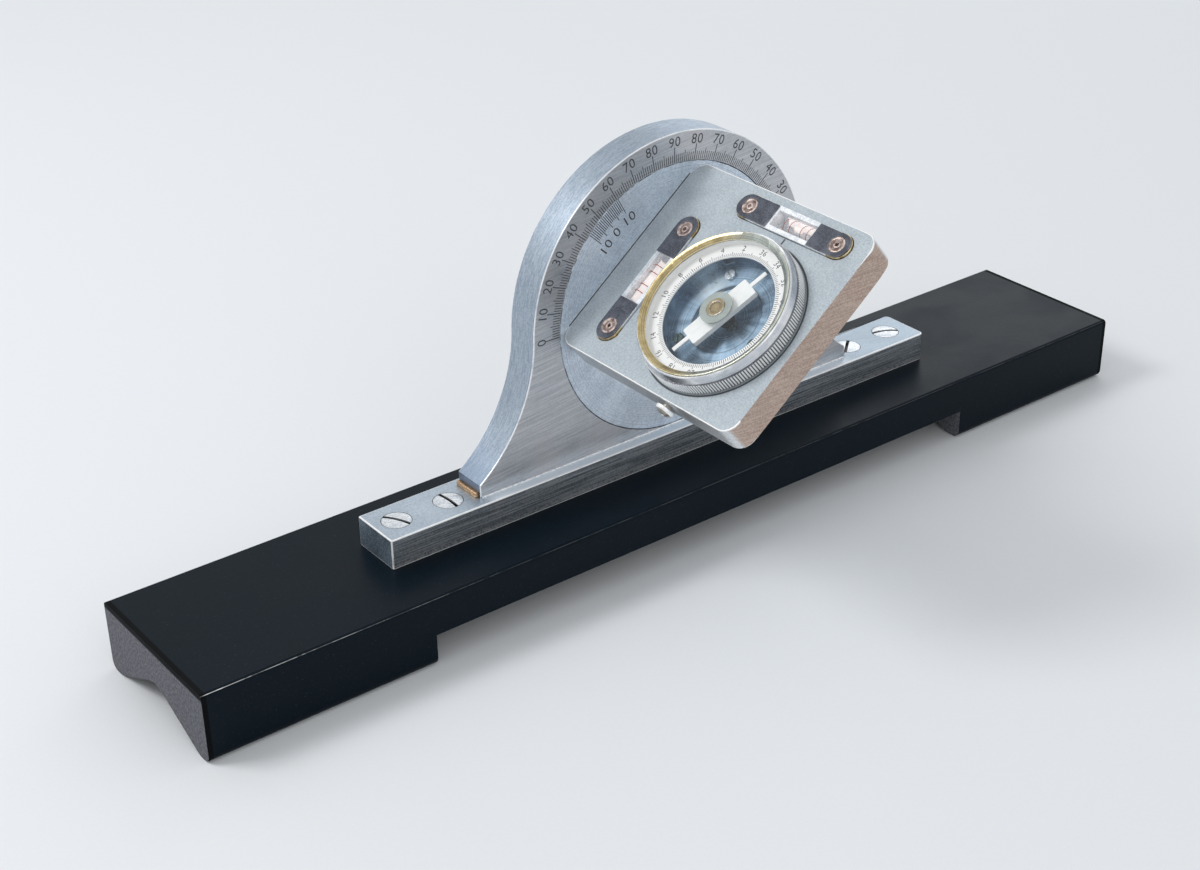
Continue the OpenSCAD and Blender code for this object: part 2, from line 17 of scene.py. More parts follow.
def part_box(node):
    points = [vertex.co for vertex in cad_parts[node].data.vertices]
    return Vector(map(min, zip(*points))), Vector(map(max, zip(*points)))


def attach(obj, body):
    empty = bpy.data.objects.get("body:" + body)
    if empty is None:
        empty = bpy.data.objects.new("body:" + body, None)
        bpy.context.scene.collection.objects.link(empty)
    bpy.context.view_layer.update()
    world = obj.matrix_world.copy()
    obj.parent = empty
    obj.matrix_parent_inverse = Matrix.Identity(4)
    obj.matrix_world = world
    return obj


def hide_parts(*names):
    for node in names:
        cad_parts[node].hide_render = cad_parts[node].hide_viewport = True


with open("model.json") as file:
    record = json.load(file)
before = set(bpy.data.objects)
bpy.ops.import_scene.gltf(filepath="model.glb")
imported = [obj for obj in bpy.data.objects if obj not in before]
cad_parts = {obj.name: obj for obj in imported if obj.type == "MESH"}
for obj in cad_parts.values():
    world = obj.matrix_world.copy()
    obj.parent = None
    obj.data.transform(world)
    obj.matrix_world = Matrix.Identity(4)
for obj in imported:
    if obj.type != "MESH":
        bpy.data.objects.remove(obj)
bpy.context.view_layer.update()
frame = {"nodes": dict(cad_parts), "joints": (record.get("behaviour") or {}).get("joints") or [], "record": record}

MM = 0.001
nodes = frame["nodes"]

# %% [markdown]
# ## The places that everything is drawn from
# Three flat places carry the engraving: the front of the protractor plate, the front of the
# disc, and the top of the compass plate. Each gets a matrix whose x runs to the reader's
# right, y up the page and z out of the metal. They are worked out from the joints of the
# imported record, because an axle's line is known exactly and a photograph's never is.

# %% Drawing places from the joints
joints = {j["name"]: j for j in frame["joints"]}
disc_axle = Vector(joints["disc_turn"]["pos_m"])
ring_axle = Vector(joints["ring_turn"]["pos_m"])
out_of_plate = Vector(joints["ring_turn"]["axis"]).normalized()
across_plate = Vector((out_of_plate.z, 0, -out_of_plate.x))
to_back = Vector((0, 1, 0))


def place(right, up, out, at):
    """A matrix that lays a drawing on a face."""
    turned = Matrix((right, up, out)).transposed().to_4x4()
    return Matrix.Translation(at) @ turned


def along(x=0.0, y=0.0, z=0.0):
    """A shift in millimetres."""
    return Matrix.Translation(Vector((x, y, z)) * MM)


def turn(degrees):
    """A turn in the plane of a drawing."""
    return Matrix.Rotation(math.radians(degrees), 4, "Z")


plate_front = Vector((disc_axle.x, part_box("protractor_plate")[0].y, disc_axle.z))
on_protractor = place(Vector((1, 0, 0)), Vector((0, 0, 1)), -to_back, plate_front)
on_disc = place(across_plate, out_of_plate, -to_back, plate_front)
on_compass = place(across_plate, to_back, out_of_plate, ring_axle)
tilt_deg = math.degrees(math.atan2(across_plate.z, across_plate.x))
print("compass plate stands at", round(tilt_deg, 2), "degrees")

# %% [markdown]
# ## Camera
# The picture was taken from the left and above with a short telephoto, so the bar runs up
# the frame and still keeps its perspective. Fitting the corners of the bar and the circles
# of the arch, the disc and the ring gave the place, the lens and a roll of one degree.

# %% Camera
camera_at = Vector((-0.3933, -0.4817, 0.3710))
looks_at = Vector((-0.0228, 0.0071, 0.0336))
roll_deg = -0.93

lens = bpy.data.cameras.new("photo_camera")
lens.lens = 60.13
lens.sensor_width = 36
lens.clip_start = 0.01
camera = bpy.data.objects.new("photo_camera", lens)
bpy.context.scene.collection.objects.link(camera)
aim = (looks_at - camera_at).to_track_quat("-Z", "Y").to_matrix()
rolled = aim @ Matrix.Rotation(math.radians(roll_deg), 3, "Z")
camera.matrix_world = Matrix.Translation(camera_at) @ rolled.to_4x4()
bpy.context.scene.camera = camera
bpy.context.scene.view_settings.view_transform = "Standard"
print("camera", round((looks_at - camera_at).length, 3), "m from the middle of the picture")

# %% [markdown]
# ## Node maths in plain sums
# Every finish below is a sum of noises and masks. Wrapping a socket in a small class lets
# those sums be written as Python: a + b makes a Math node, or a Vector Math node when one
# side is a vector. Anything else comes from one method, add, that names the node, its
# settings and its inputs.

# %% Sums of sockets
class Wire:
    """One output of a node, for use in sums."""

    def __init__(self, finish, socket):
        self.finish = finish
        self.socket = socket

    def sum_of(self, operation, first, second):
        kinds = {w.socket.type for w in (first, second) if isinstance(w, Wire)}
        node = "ShaderNodeVectorMath" if "VECTOR" in kinds else "ShaderNodeMath"
        return self.finish.add(node, {"operation": operation}, {0: first, 1: second})

    def __add__(self, other):
        return self.sum_of("ADD", self, other)

    def __sub__(self, other):
        return self.sum_of("SUBTRACT", self, other)

    def __rsub__(self, other):
        return self.sum_of("SUBTRACT", other, self)

    def __mul__(self, other):
        return self.sum_of("MULTIPLY", self, other)

    __radd__ = __add__
    __rmul__ = __mul__

    def over(self, other):
        return self.sum_of("MAXIMUM", self, other)

    def under(self, other):
        return self.sum_of("MINIMUM", self, other)

    def measure(self, operation, other=(0, 0, 0)):
        """A number from a vector: its LENGTH, its DISTANCE from a point, or its DOT_PRODUCT."""
        inputs = {0: self, 1: other}
        return self.finish.add("ShaderNodeVectorMath", {"operation": operation}, inputs, "Value")

    def ramp(self, low, high, to_low=0.0, to_high=1.0):
        """Rises smoothly from to_low at low to to_high at high."""
        spans = {"Value": self, "From Min": low, "From Max": high, "To Min": to_low, "To Max": to_high}
        return self.finish.add("ShaderNodeMapRange", {"interpolation_type": "SMOOTHSTEP"}, spans)

    def spread(self, least, most):
        """A noise stretched to lie between two values."""
        return self.ramp(0.3, 0.7, least, most)

    def past(self, low_mm, high_mm):
        """0 up to low_mm and 1 beyond high_mm."""
        return self.ramp(low_mm * MM, high_mm * MM)

    def short_of(self, low_mm, high_mm):
        """1 up to low_mm and 0 beyond high_mm."""
        return self.ramp(low_mm * MM, high_mm * MM, 1.0, 0.0)

    def band(self, rise_mm, full_mm, still_mm, gone_mm):
        """1 from full_mm to still_mm, and 0 up to rise_mm and beyond gone_mm."""
        return self.past(rise_mm, full_mm) * self.short_of(still_mm, gone_mm)


# %% Finishes made of nodes
class Finish:
    """A material, or the world, that is built up from nodes."""

    def __init__(self, name, kind="materials"):
        self.made = getattr(bpy.data, kind).new(name)
        self.made.use_nodes = True
        self.tree = self.made.node_tree
        self.tree.nodes.clear()
        self.here = None

    def add(self, kind, settings=None, inputs=None, output=0):
        """A node: its settings first, then its inputs, each a number, a tuple or a Wire."""
        node = self.tree.nodes.new(kind)
        for key, value in (settings or {}).items():
            setattr(node, key, value)
        for key, value in (inputs or {}).items():
            self.join(node.inputs[key], value)
        return Wire(self, node.outputs[output]) if len(node.outputs) else None

    def join(self, socket, value):
        if isinstance(value, Wire):
            self.tree.links.new(value.socket, socket)
        elif isinstance(value, tuple) and socket.type == "RGBA":
            socket.default_value = (*value, 1)
        else:
            socket.default_value = value

    def position(self):
        """Where a point is, in metres, on the object's own coordinates."""
        if self.here is None:
            self.here = self.add("ShaderNodeTexCoord", output="Object")
        return self.here

    def at(self, axis):
        """One of a point's three coordinates."""
        return self.add("ShaderNodeSeparateXYZ", None, {0: self.position()}, axis)

    def noise(self, scale, detail=3.0, rough=0.5, warp=0.0, vector=None):
        """Patches about 1/scale wide."""
        inputs = {"Vector": vector or self.position(), "Scale": scale, "Detail": detail,
                  "Roughness": rough, "Distortion": warp}
        return self.add("ShaderNodeTexNoise", None, inputs)

    def blend(self, mask, first, second):
        """Colour first where the mask is 0, colour second where it is 1."""
        inputs = {0: mask, 6: first, 7: second}
        return self.add("ShaderNodeMix", {"data_type": "RGBA", "clamp_factor": True}, inputs, 2)

    def layers(self, tone, *coats):
        """A tone under coats, each (mask, colour), laid on in turn."""
        for mask, colour in coats:
            tone = self.blend(mask, tone, colour)
        return tone

    def facing(self, direction):
        """How far a face looks in a direction, from 0 to 1, on the object's own axes."""
        normal = self.add("ShaderNodeTexCoord", output="Normal")
        return normal.measure("DOT_PRODUCT", direction).ramp(0.6, 0.85)

    def near(self, centre, full_mm, gone_mm):
        """1 within full_mm of a point, and 0 beyond gone_mm."""
        return self.position().measure("DISTANCE", centre).short_of(full_mm, gone_mm)

    def edge(self):
        """1 on the small bevels that were cut round a piece, 0 on its faces."""
        return self.add("ShaderNodeAttribute", {"attribute_name": "edge"}, None, "Fac")

    def surface(self, colour, roughness, metallic=0.0, height=None, depth=0.0, **others):
        """The finished surface. height is a pattern, and depth is its real depth in mm."""
        inputs = {"Base Color": colour, "Roughness": roughness, "Metallic": metallic}
        if height is not None:
            bump = {"Height": height, "Strength": 1.0, "Distance": depth * MM}
            inputs["Normal"] = self.add("ShaderNodeBump", None, bump)
        inputs.update({key.replace("_", " "): value for key, value in others.items()})
        shader = self.add("ShaderNodeBsdfPrincipled", None, inputs)
        self.add("ShaderNodeOutputMaterial", None, {"Surface": shader})
        return self.made


print("node classes ready")

# %% [markdown]
# ## Floor, world and lamps
# The set is a pale floor under a pale sky, with one large lamp behind and to the left, one
# to the right and a weak one in front. The lamp behind throws the needle's shadow towards
# the reader, as in the photograph, and stays out of the mirror of the compass glass. Seen
# directly or in metal the sky is nearly white, while for soft light it is dimmer, so that
# the lamps still shape the object.

# %% World
sky_shown = 0.88
sky_soft = 0.68
sky = Finish("studio_sky", "worlds")
bpy.context.scene.world = sky.made
sky_seen = 0
for ray in ("Is Camera Ray", "Is Glossy Ray", "Is Transmission Ray"):
    sky_seen = sky.add("ShaderNodeLightPath", output=ray).over(sky_seen)
strength = sky.add("ShaderNodeMapRange", None, {"Value": sky_seen, "To Min": sky_soft, "To Max": sky_shown})
glow = sky.add("ShaderNodeBackground", None, {"Color": (0.965, 0.983, 1.0), "Strength": strength})
sky.add("ShaderNodeOutputWorld", None, {"Surface": glow})
print("sky", sky_shown, "where it is seen,", sky_soft, "as soft light")

# %% Floor
floor_half_m = 6.0


def new_object(bm, name, material):
    """Turns a finished bmesh into an object with one material."""
    mesh = bpy.data.meshes.new(name)
    bm.to_mesh(mesh)
    bm.free()
    mesh.materials.append(material)
    made = bpy.data.objects.new(name, mesh)
    bpy.context.scene.collection.objects.link(made)
    return made


paper = Finish("floor_paper")
paper_fibre = paper.noise(900.0, 2.0)
paper_tone = paper.blend(paper_fibre, (0.80, 0.82, 0.845), (0.83, 0.85, 0.87))
floor_paper = paper.surface(paper_tone, 0.9, 0.0, paper_fibre, 0.01, Specular_IOR_Level=0.1)
floor_bm = bmesh.new()
bmesh.ops.create_grid(floor_bm, x_segments=1, y_segments=1, size=floor_half_m)
floor = new_object(floor_bm, "studio_floor", floor_paper)

# %% Lamps
middle_of_work = Vector((0, -0.02, 0.07))


def lamp(name, direction, distance, size, watts, colour=(1, 1, 1)):
    """A square soft lamp that faces the work."""
    light = bpy.data.lights.new(name, "AREA")
    light.shape = "SQUARE"
    light.size = size
    light.energy = watts
    light.color = colour
    holder = bpy.data.objects.new(name, light)
    bpy.context.scene.collection.objects.link(holder)
    toward = Vector(direction).normalized()
    turned = (-toward).to_track_quat("-Z", "Y").to_matrix().to_4x4()
    holder.matrix_world = Matrix.Translation(middle_of_work + toward * distance) @ turned


lamp("lamp_back_left", (-0.60, 0.38, 0.70), 1.5, 0.5, 8.0)
lamp("lamp_right", (0.80, 0.52, 0.42), 1.7, 0.9, 2.5, (0.93, 0.97, 1.0))
lamp("lamp_front", (-0.2, -0.9, 0.55), 1.8, 0.9, 2.5, (1.0, 0.98, 0.95))

# %% [markdown]
# ## Finishes for bare metal
# Bare metal takes its look from how it was cut. Brushing leaves scratches that are long one
# way and fine the other, so a noise is squeezed along them. Turning leaves rings round an
# axle, so a noise is read along the radius alone. Blasting leaves grains of one size. Each
# pattern moves the colour and the roughness a little and gives the bump its height.

# %% Marks that tools leave
def brushed(finish, long_mm, fine_mm, lean_deg=(0, 0, 0), detail=3.0):
    """Scratches about long_mm by fine_mm that run along x, leaned by angles about the axes."""
    lean = tuple(math.radians(angle) for angle in lean_deg)
    turned = finish.add("ShaderNodeMapping", {"vector_type": "POINT"},
                        {"Vector": finish.position(), "Rotation": lean})
    squeezed = turned * (1 / (long_mm * MM), 1 / (fine_mm * MM), 1 / (fine_mm * MM))
    return finish.noise(1.0, detail, 0.6, vector=squeezed)


def radius_from(finish, axle, direction):
    """Distance of a point from an axle."""
    arm = finish.position() - axle
    share = {0: direction, "Scale": arm.measure("DOT_PRODUCT", direction)}
    along_axle = finish.add("ShaderNodeVectorMath", {"operation": "SCALE"}, share)
    return (arm - along_axle).measure("LENGTH")


def turned_rings(finish, radius, ring_mm):
    """Uneven rings about ring_mm apart."""
    inputs = {"W": radius, "Scale": 1 / (ring_mm * MM), "Detail": 4.0, "Roughness": 0.7}
    return finish.add("ShaderNodeTexNoise", {"noise_dimensions": "1D"}, inputs)


def grains(finish, grain_mm, detail=2.0):
    return finish.noise(1 / (grain_mm * MM), detail, 0.6)


def stains(finish, patch_mm):
    return finish.noise(1 / (patch_mm * MM), 4.0, 0.55, 0.4)


# %% Whole finishes from those marks
def speckled(name, grain_mm, detail, span, dark, light, rough, metallic=0.0, depth=0.01):
    """A finish between two tones that follow its grains alone."""
    finish = Finish(name)
    fleck = grains(finish, grain_mm, detail)
    return finish.surface(finish.blend(fleck.ramp(*span), dark, light), rough, metallic, fleck, depth)


def scuffed_metal(name, dark, light, brush, grain, rough, depth=0.01, worn=(0.9, 0.92, 0.95), wear=0.5,
                  metallic=1.0):
    """Metal between two tones, with its cutting marks, grains and a polished edge."""
    finish = Finish(name)
    tone = brush(finish)
    patch = stains(finish, 14.0)
    speck = grains(finish, grain)
    mask = (tone * 0.6 + speck * 0.25 + patch * 0.15).ramp(0.36, 0.64)
    polish = finish.edge() * stains(finish, 3.0).ramp(0.35, 0.6) * wear
    colour = finish.layers(dark, (mask, light), (polish, worn))
    roughness = (patch * 0.5 + tone * 0.5).spread(rough[1], rough[0]) - polish * 0.12
    return finish.surface(colour, roughness, metallic, tone * 0.7 + speck * 0.3, depth)


def turned_metal(name, dark, light, axle, direction, ring_mm):
    """Metal that was turned about an axle."""
    return scuffed_metal(
        name, dark, light,
        lambda f: turned_rings(f, radius_from(f, axle, direction), ring_mm),
        0.6, (0.28, 0.4),
    )


print("tool marks ready")

# %% [markdown]
# ## Edges that catch the light
# The imported solids have dead sharp edges, and no real metal has. A copy of a node's mesh is
# merged, its flat parts are joined to single faces, and every outer edge that turns by more
# than 40 degrees gets a small bevel. The bevel's faces carry a value named edge, which
# the finishes read to wear the paint or polish the metal just there, and on several metals to
# lay a painted highlight along the edge. A weighted-normal modifier keeps the broad faces
# flat to the eye.

# %% Bevelled copies of nodes
outer_edge_deg = 40
body_of_node = {n: b for b, members in frame["record"]["behaviour"]["bodies"].items() for n in members}


def show(bm, name, material, body):
    """Turns a finished bmesh into a piece that rides on a body."""
    piece = new_object(bm, name, material)
    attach(piece, body)
    return piece


def mark_sharp(bm, sharp_deg=35):
    """Smooth faces, with a sharp edge wherever the surface turns quickly."""
    for face in bm.faces:
        face.smooth = True
    for edge in bm.edges:
        edge.smooth = edge.is_manifold and edge.calc_face_angle(0) < math.radians(sharp_deg)


def merged_copy(node):
    """A node's mesh with its loose triangles joined up and its flat parts made one face."""
    bm = bmesh.new()
    bm.from_mesh(nodes[node].data)
    bmesh.ops.remove_doubles(bm, verts=bm.verts[:], dist=0.002 * MM)
    bmesh.ops.dissolve_limit(bm, angle_limit=math.radians(0.4), verts=bm.verts[:], edges=bm.edges[:])
    return bm


def round_off(bm, edges, edge_mm, segments, clamp=True):
    """Bevels some edges and returns the new faces."""
    cut = bmesh.ops.bevel(
        bm, geom=edges, offset=edge_mm * MM, offset_type="OFFSET", segments=segments, profile=0.5,
        affect="EDGES", clamp_overlap=clamp, material=-1,
    )
    return cut["faces"]


def outer_edges(bm):
    least = math.radians(outer_edge_deg)
    return [e for e in bm.edges if e.is_manifold and e.is_convex and e.calc_face_angle(0) > least]


def dressed(node, material, edge_mm, segments=2, wide_mm=0.0, wide=None, only=None):
    """Shows a node's own shape with its outer edges bevelled.

    wide picks edges that are first rounded by wide_mm. only picks the edges of the outline, where
    no two are close, so that small holes elsewhere can't hold their bevel back.
    """
    bm = merged_copy(node)
    on_bevel = bm.faces.layers.float.new("edge")
    if wide is not None:
        round_off(bm, [e for e in outer_edges(bm) if wide(e)], wide_mm, 4)
    outer = [e for e in outer_edges(bm) if only is None or only(e)]
    for face in round_off(bm, outer, edge_mm, segments, only is None):
        face[on_bevel] = 1.0
    mark_sharp(bm)
    piece = show(bm, node + "_dressed", material, body_of_node[node])
    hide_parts(node)
    steady = piece.modifiers.new("steady_normals", "WEIGHTED_NORMAL")
    steady.keep_sharp = True
    print(node, "bevelled", len(outer), "edges,", len(piece.data.polygons), "faces")


def painted(node, material):
    """Keeps a node's own mesh and gives it a finish."""
    mesh = nodes[node].data
    mesh.materials.clear()
    mesh.materials.append(material)


# %% [markdown]
# ## Base bar
# A cast or milled bar under black enamel. The enamel is thick enough to round every edge by
# 0.9 mm, and those across the ends by 1.7 mm. It has a slight orange peel, chips at the
# corners, and a low gloss, so the pale room hardly shows in it. The two ends are bare below
# a dark band of painted shade, and the top front edge carries a painted highlight, a white
# line that fades to the right, with a painted highlight spot near the corner. Such places
# are found by their distance from the bar's own sides.

# %% Black enamel
bar_low, bar_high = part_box("base_bar")
enamel = Finish("black_enamel")
enamel_patch = stains(enamel, 30.0)
enamel_peel = enamel.noise(700.0, 2.0)
enamel_dust = enamel.noise(1500.0, 2.0, 0.7).ramp(0.62, 0.76)
enamel_chips = enamel.edge() * enamel.noise(260.0, 4.0, 0.65).ramp(0.56, 0.62)

# %% Bare ends, a band of painted shade and a painted highlight on the edge
from_left = enamel.at(0) - bar_low.x
from_right = bar_high.x - enamel.at(0)
below_top = bar_high.z - enamel.at(2)
behind_front = enamel.at(1) - bar_low.y
# A band along the top edges of both ends is painted near black, as painted shade.
end_band_painted_shade = from_left.short_of(1.5, 1.9) + from_right.short_of(1.5, 1.9)
bare_end = (enamel.facing((-1, 0, 0)) + enamel.facing((1, 0, 0))) * below_top.past(1.6, 2.6)
bare_mask = enamel.noise(1100.0, 3.0, 0.7).ramp(0.35, 0.65)
# Painted highlight: a white line along the top front edge that fades to the right, and a white spot near the left
# corner.
on_front_edge = below_top.short_of(0.35, 0.55) * behind_front.short_of(0.35, 0.55)
line_fade = from_left.ramp(6 * MM, 110 * MM, 1.0, 0.12)
painted_highlight_line = on_front_edge * line_fade * stains(enamel, 5.0).ramp(0.38, 0.56, 0.25, 1.0)
near_corner = Vector((bar_low.x + 4.5 * MM, bar_low.y + 0.3 * MM, bar_high.z - 0.2 * MM))
painted_highlight_spot = enamel.near(near_corner, 2.6, 4.0) * on_front_edge
enamel_colour = enamel.layers(
    (0.0006, 0.0045, 0.0090),
    (enamel_patch, (0.0018, 0.0070, 0.0130)),
    (enamel_dust * 0.3, (0.06, 0.075, 0.09)),
    (enamel_chips * 0.35, (0.12, 0.125, 0.13)),
    (end_band_painted_shade, (0.0005, 0.0012, 0.002)),
    (bare_end, enamel.blend(bare_mask, (0.075, 0.078, 0.092), (0.17, 0.17, 0.19))),
    (painted_highlight_line + painted_highlight_spot, (0.92, 0.92, 0.90)),
)
black_enamel = enamel.surface(
    enamel_colour,
    enamel_patch.spread(0.34, 0.44) - enamel.edge() * 0.08 + end_band_painted_shade * 0.3,
    height=enamel_peel + enamel_patch * 3.0,
    depth=0.02,
    Specular_IOR_Level=0.09,
)


def along_bar_end(edge):
    """The top edges across the bar's two ends."""
    middle = (edge.verts[0].co + edge.verts[1].co) / 2
    return middle.z > bar_high.z - 0.1 * MM and abs(middle.x) > bar_high.x - 0.1 * MM


dressed("base_bar", black_enamel, 0.9, 3, 1.7, along_bar_end)

# %% [markdown]
# ## Rail and its screws
# The rail's top is ground bright, while its front and ends are dark from the mill, with
# streaks along the rail; the front is painted darker still, as painted shade. One material
# can do both, because the faces are told apart by the direction that they look in. The edge
# between them carries a painted highlight, bright and thin. The top has painted shade to the
# right, and a painted pool of light in front of the plate, where it is also less metallic.
# The screws are of a paler steel with a painted highlight round their rims, and their slots
# are painted dark, as painted shade, because a slot hides its floor from the sky.

# %% Front and ends of the rail
rail_low, rail_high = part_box("rail")
rail = Finish("rail_steel")
rail_long = brushed(rail, 34.0, 0.45, detail=5.0)
rail_fine = brushed(rail, 9.0, 0.22)
rail_speck = grains(rail, 0.7)
rail_patch = stains(rail, 18.0)
rail_mottle = rail_speck * 0.5 + rail_patch * 0.5
rail_foot = (rail.at(2) - rail_low.z).short_of(1.2, 3.2) * rail_speck.ramp(0.35, 0.55) * 0.4
# The front is dark from the mill, and painted darker still, as painted shade.
rail_side_mill_and_shade = rail.layers(
    (0.095, 0.115, 0.135),
    ((rail_long * 0.6 + rail_fine * 0.2 + rail_speck * 0.2).ramp(0.40, 0.66), (0.42, 0.46, 0.50)),
    (rail_mottle.ramp(0.5, 0.6) * 0.25, (0.25, 0.215, 0.20)),
    (rail_foot, (0.50, 0.50, 0.52)),
)
rail_end = rail.blend(rail_mottle.ramp(0.38, 0.62), (0.10, 0.135, 0.17), (0.27, 0.34, 0.41))

# %% Top of the rail
foot_low, foot_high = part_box("protractor_plate")
# A painted pool of light on the strip of the rail's top in front of the plate.
before_plate = (foot_low.y - rail.at(1)).past(0, 0.3)
beside_plate = (rail.at(0) - foot_low.x).past(-2, 6) * (foot_high.x - rail.at(0)).past(-2, 6)
painted_light_strip = before_plate * beside_plate
rail_top = rail.layers(
    (0.36, 0.42, 0.48),
    ((rail_fine * 0.35 + rail_speck * 0.4 + rail_patch * 0.25).ramp(0.35, 0.65), (0.54, 0.61, 0.68)),
    # Painted shade: the top darker towards the right.
    (rail.at(0).past(20, 100) * 0.45, (0.24, 0.29, 0.34)),
    (painted_light_strip * 0.8, (0.80, 0.87, 0.94)),
)
looks_up = rail.facing((0, 0, 1))
# Painted highlight: a thin white line along the rail's bevelled edges.
rail_painted_edge_highlight = rail.edge() * stains(rail, 4.0).ramp(0.25, 0.5, 0.65, 1.0)
rail_colour = rail.layers(
    rail_side_mill_and_shade,
    (rail.facing((-1, 0, 0)), rail_end),
    (looks_up, rail_top),
    (rail_painted_edge_highlight, (0.94, 0.95, 0.96)),
)
rail_steel = rail.surface(
    rail_colour,
    rail_patch.spread(0.38, 0.5) - rail_painted_edge_highlight * 0.15,
    (looks_up * 0.4 + 0.6) * (1.0 - rail_painted_edge_highlight * 0.85) * (1.0 - painted_light_strip * looks_up * 0.6),
    rail_long * 0.6 + rail_speck * 0.4,
    0.02,
)


def right_corner(edge):
    """The rail's upright edges at its right end."""
    first, second = (v.co for v in edge.verts)
    return min(first.x, second.x) > rail_high.x - 0.1 * MM and abs(first.z - second.z) > 2 * MM


def rail_border(edge):
    """The edges round the rail, and not those of its screw holes."""
    return all(
        min(v.co.x - rail_low.x, rail_high.x - v.co.x, v.co.y - rail_low.y, rail_high.y - v.co.y) < 2.0 * MM
        for v in edge.verts
    )


dressed("rail", rail_steel, 0.45, 2, 1.8, right_corner, rail_border)

# %% Rail screws
screw_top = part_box("rail_screws")[1].z
screws = Finish("screw_steel")
screw_marks = brushed(screws, 5.0, 0.3, (0, 0, 35))
screw_mask = (screw_marks * 0.6 + grains(screws, 0.6) * 0.4).ramp(0.38, 0.62)
screw_tone = screws.layers(
    (0.50, 0.54, 0.59),
    (screw_mask, (0.90, 0.92, 0.94)),
    # Painted shade: everything deeper than the head's top, the slot's floor first, is near black.
    ((screw_top - screws.at(2)).past(0.35, 0.8), (0.02, 0.022, 0.025)),
    # A painted highlight round the head's bevelled rim.
    (screws.edge() * 0.9, (0.97, 0.97, 0.97)),
)
screw_steel = screws.surface(screw_tone, screw_mask.ramp(0.0, 1.0, 0.42, 0.28), 0.7, screw_marks, 0.03)
dressed("rail_screws", screw_steel, 0.3)

# %% [markdown]
# ## Protractor plate
# The plate was brushed along its length, with strokes that lean a few degrees, and its rim
# was finished round the curve. The rim's colour is a shade darker than the face, painted
# shade to offset the lamp that it looks up to, and darker still near its foot, painted shade
# where it turns away from the lamp. A painted highlight runs along its edges as a thin bright
# line. The engraved scale comes further down as thin dark pieces.

# %% Plate steel
plate = Finish("plate_steel")
on_face = plate.facing(-to_back) + plate.facing(to_back)
strokes = brushed(plate, 26.0, 0.55, (0, 7, 0), 4.0)
fine_strokes = brushed(plate, 12.0, 0.25, (0, 4, 0))
rim_strokes = plate.noise(1.0, 3.0, 0.6, vector=plate.position() * (260.0, 1900.0, 260.0))
plate_speck = grains(plate, 0.65)
plate_patch = stains(plate, 16.0)
face_mask = (strokes * 0.4 + fine_strokes * 0.3 + plate_patch * 0.15 + plate_speck * 0.15).ramp(0.36, 0.66)
face_tone = plate.layers(
    (0.40, 0.42, 0.45),
    (face_mask, (0.66, 0.67, 0.70)),
    (plate_patch.ramp(0.45, 0.7) * 0.35, (0.54, 0.50, 0.50)),
)
rim_tone_and_shade = plate.layers(
    (0.31, 0.37, 0.44),
    ((rim_strokes * 0.6 + plate_speck * 0.4).ramp(0.36, 0.66), (0.50, 0.56, 0.63)),
    # Painted shade: the rim darker towards its foot.
    (plate.at(2).ramp(30 * MM, 58 * MM, 0.9, 0.15), (0.10, 0.14, 0.21)),
)
# Painted highlight: a thin white line along the plate's bevelled outline.
plate_painted_edge_highlight = plate.edge() * stains(plate, 6.0).ramp(0.3, 0.55, 0.35, 0.9)
plate_steel = plate.surface(
    plate.layers(rim_tone_and_shade, (on_face, face_tone), (plate_painted_edge_highlight, (0.93, 0.94, 0.95))),
    plate_patch.spread(0.36, 0.48) - plate_painted_edge_highlight * 0.15,
    1.0 - plate_painted_edge_highlight * 0.85,
    strokes * 0.5 + fine_strokes * 0.3 + plate_speck * 0.2,
    0.014,
)
seat_clear_mm = 51


def plate_outline(edge):
    """Where the plate's front or back meets its rim, outside the disc's seat."""
    beside_face = any(abs(face.normal.y) > 0.9 for face in edge.link_faces)
    arms = [math.hypot(v.co.x - disc_axle.x, v.co.z - disc_axle.z) for v in edge.verts]
    return beside_face and min(arms) > seat_clear_mm * MM


dressed("protractor_plate", plate_steel, 0.35, only=plate_outline)

# %% [markdown]
# ## Vernier disc and the spindle behind it
# The disc was faced on a lathe, which leaves rings, and a painted sheen fans out from the
# middle, as turned metal shows under a lamp. The spindle, the washers and the slotted nut are
# only seen from behind, and are finished just as carefully: turned steel, and a spring washer in bronze.

# %% Disc and spindle finishes
def sheen_from(finish, axle, scale):
    """A painted sheen: light and dark fans that spread from an axle, as turned metal shows under a lamp."""
    arm = {0: finish.position() - axle}
    fan = finish.add("ShaderNodeVectorMath", {"operation": "NORMALIZE"}, arm)
    return finish.noise(scale, 3.0, 0.6, vector=fan)


def disc_marks(finish):
    """Fine rings under short slanted scratches, with a broad painted sheen."""
    rings = turned_rings(finish, radius_from(finish, disc_axle, to_back), 0.35)
    scratches = brushed(finish, 11.0, 0.28, (0, 48, 0))
    return rings * 0.5 + scratches * 0.15 + sheen_from(finish, plate_front, 5.0) * 0.35


disc_metal = scuffed_metal("disc_metal", (0.40, 0.47, 0.56), (0.82, 0.90, 1.0), disc_marks, 0.6, (0.42, 0.52),
                           0.02, (0.05, 0.055, 0.06), 0.9, 0.5)
spindle_metal = turned_metal("turned_metal", (0.36, 0.36, 0.37), (0.58, 0.58, 0.58), disc_axle, to_back, 0.4)
bronze = turned_metal("spring_bronze", (0.34, 0.22, 0.11), (0.56, 0.40, 0.22), disc_axle, to_back, 0.8)
dressed("vernier_disc", disc_metal, 0.2, 1)
dressed("disc_spindle", spindle_metal, 0.4)
dressed("thrust_washer", spindle_metal, 0.2, 1)
dressed("spindle_nut", spindle_metal, 0.4)
dressed("friction_washer", bronze, 0.1, 1)
painted("head_screws", spindle_metal)

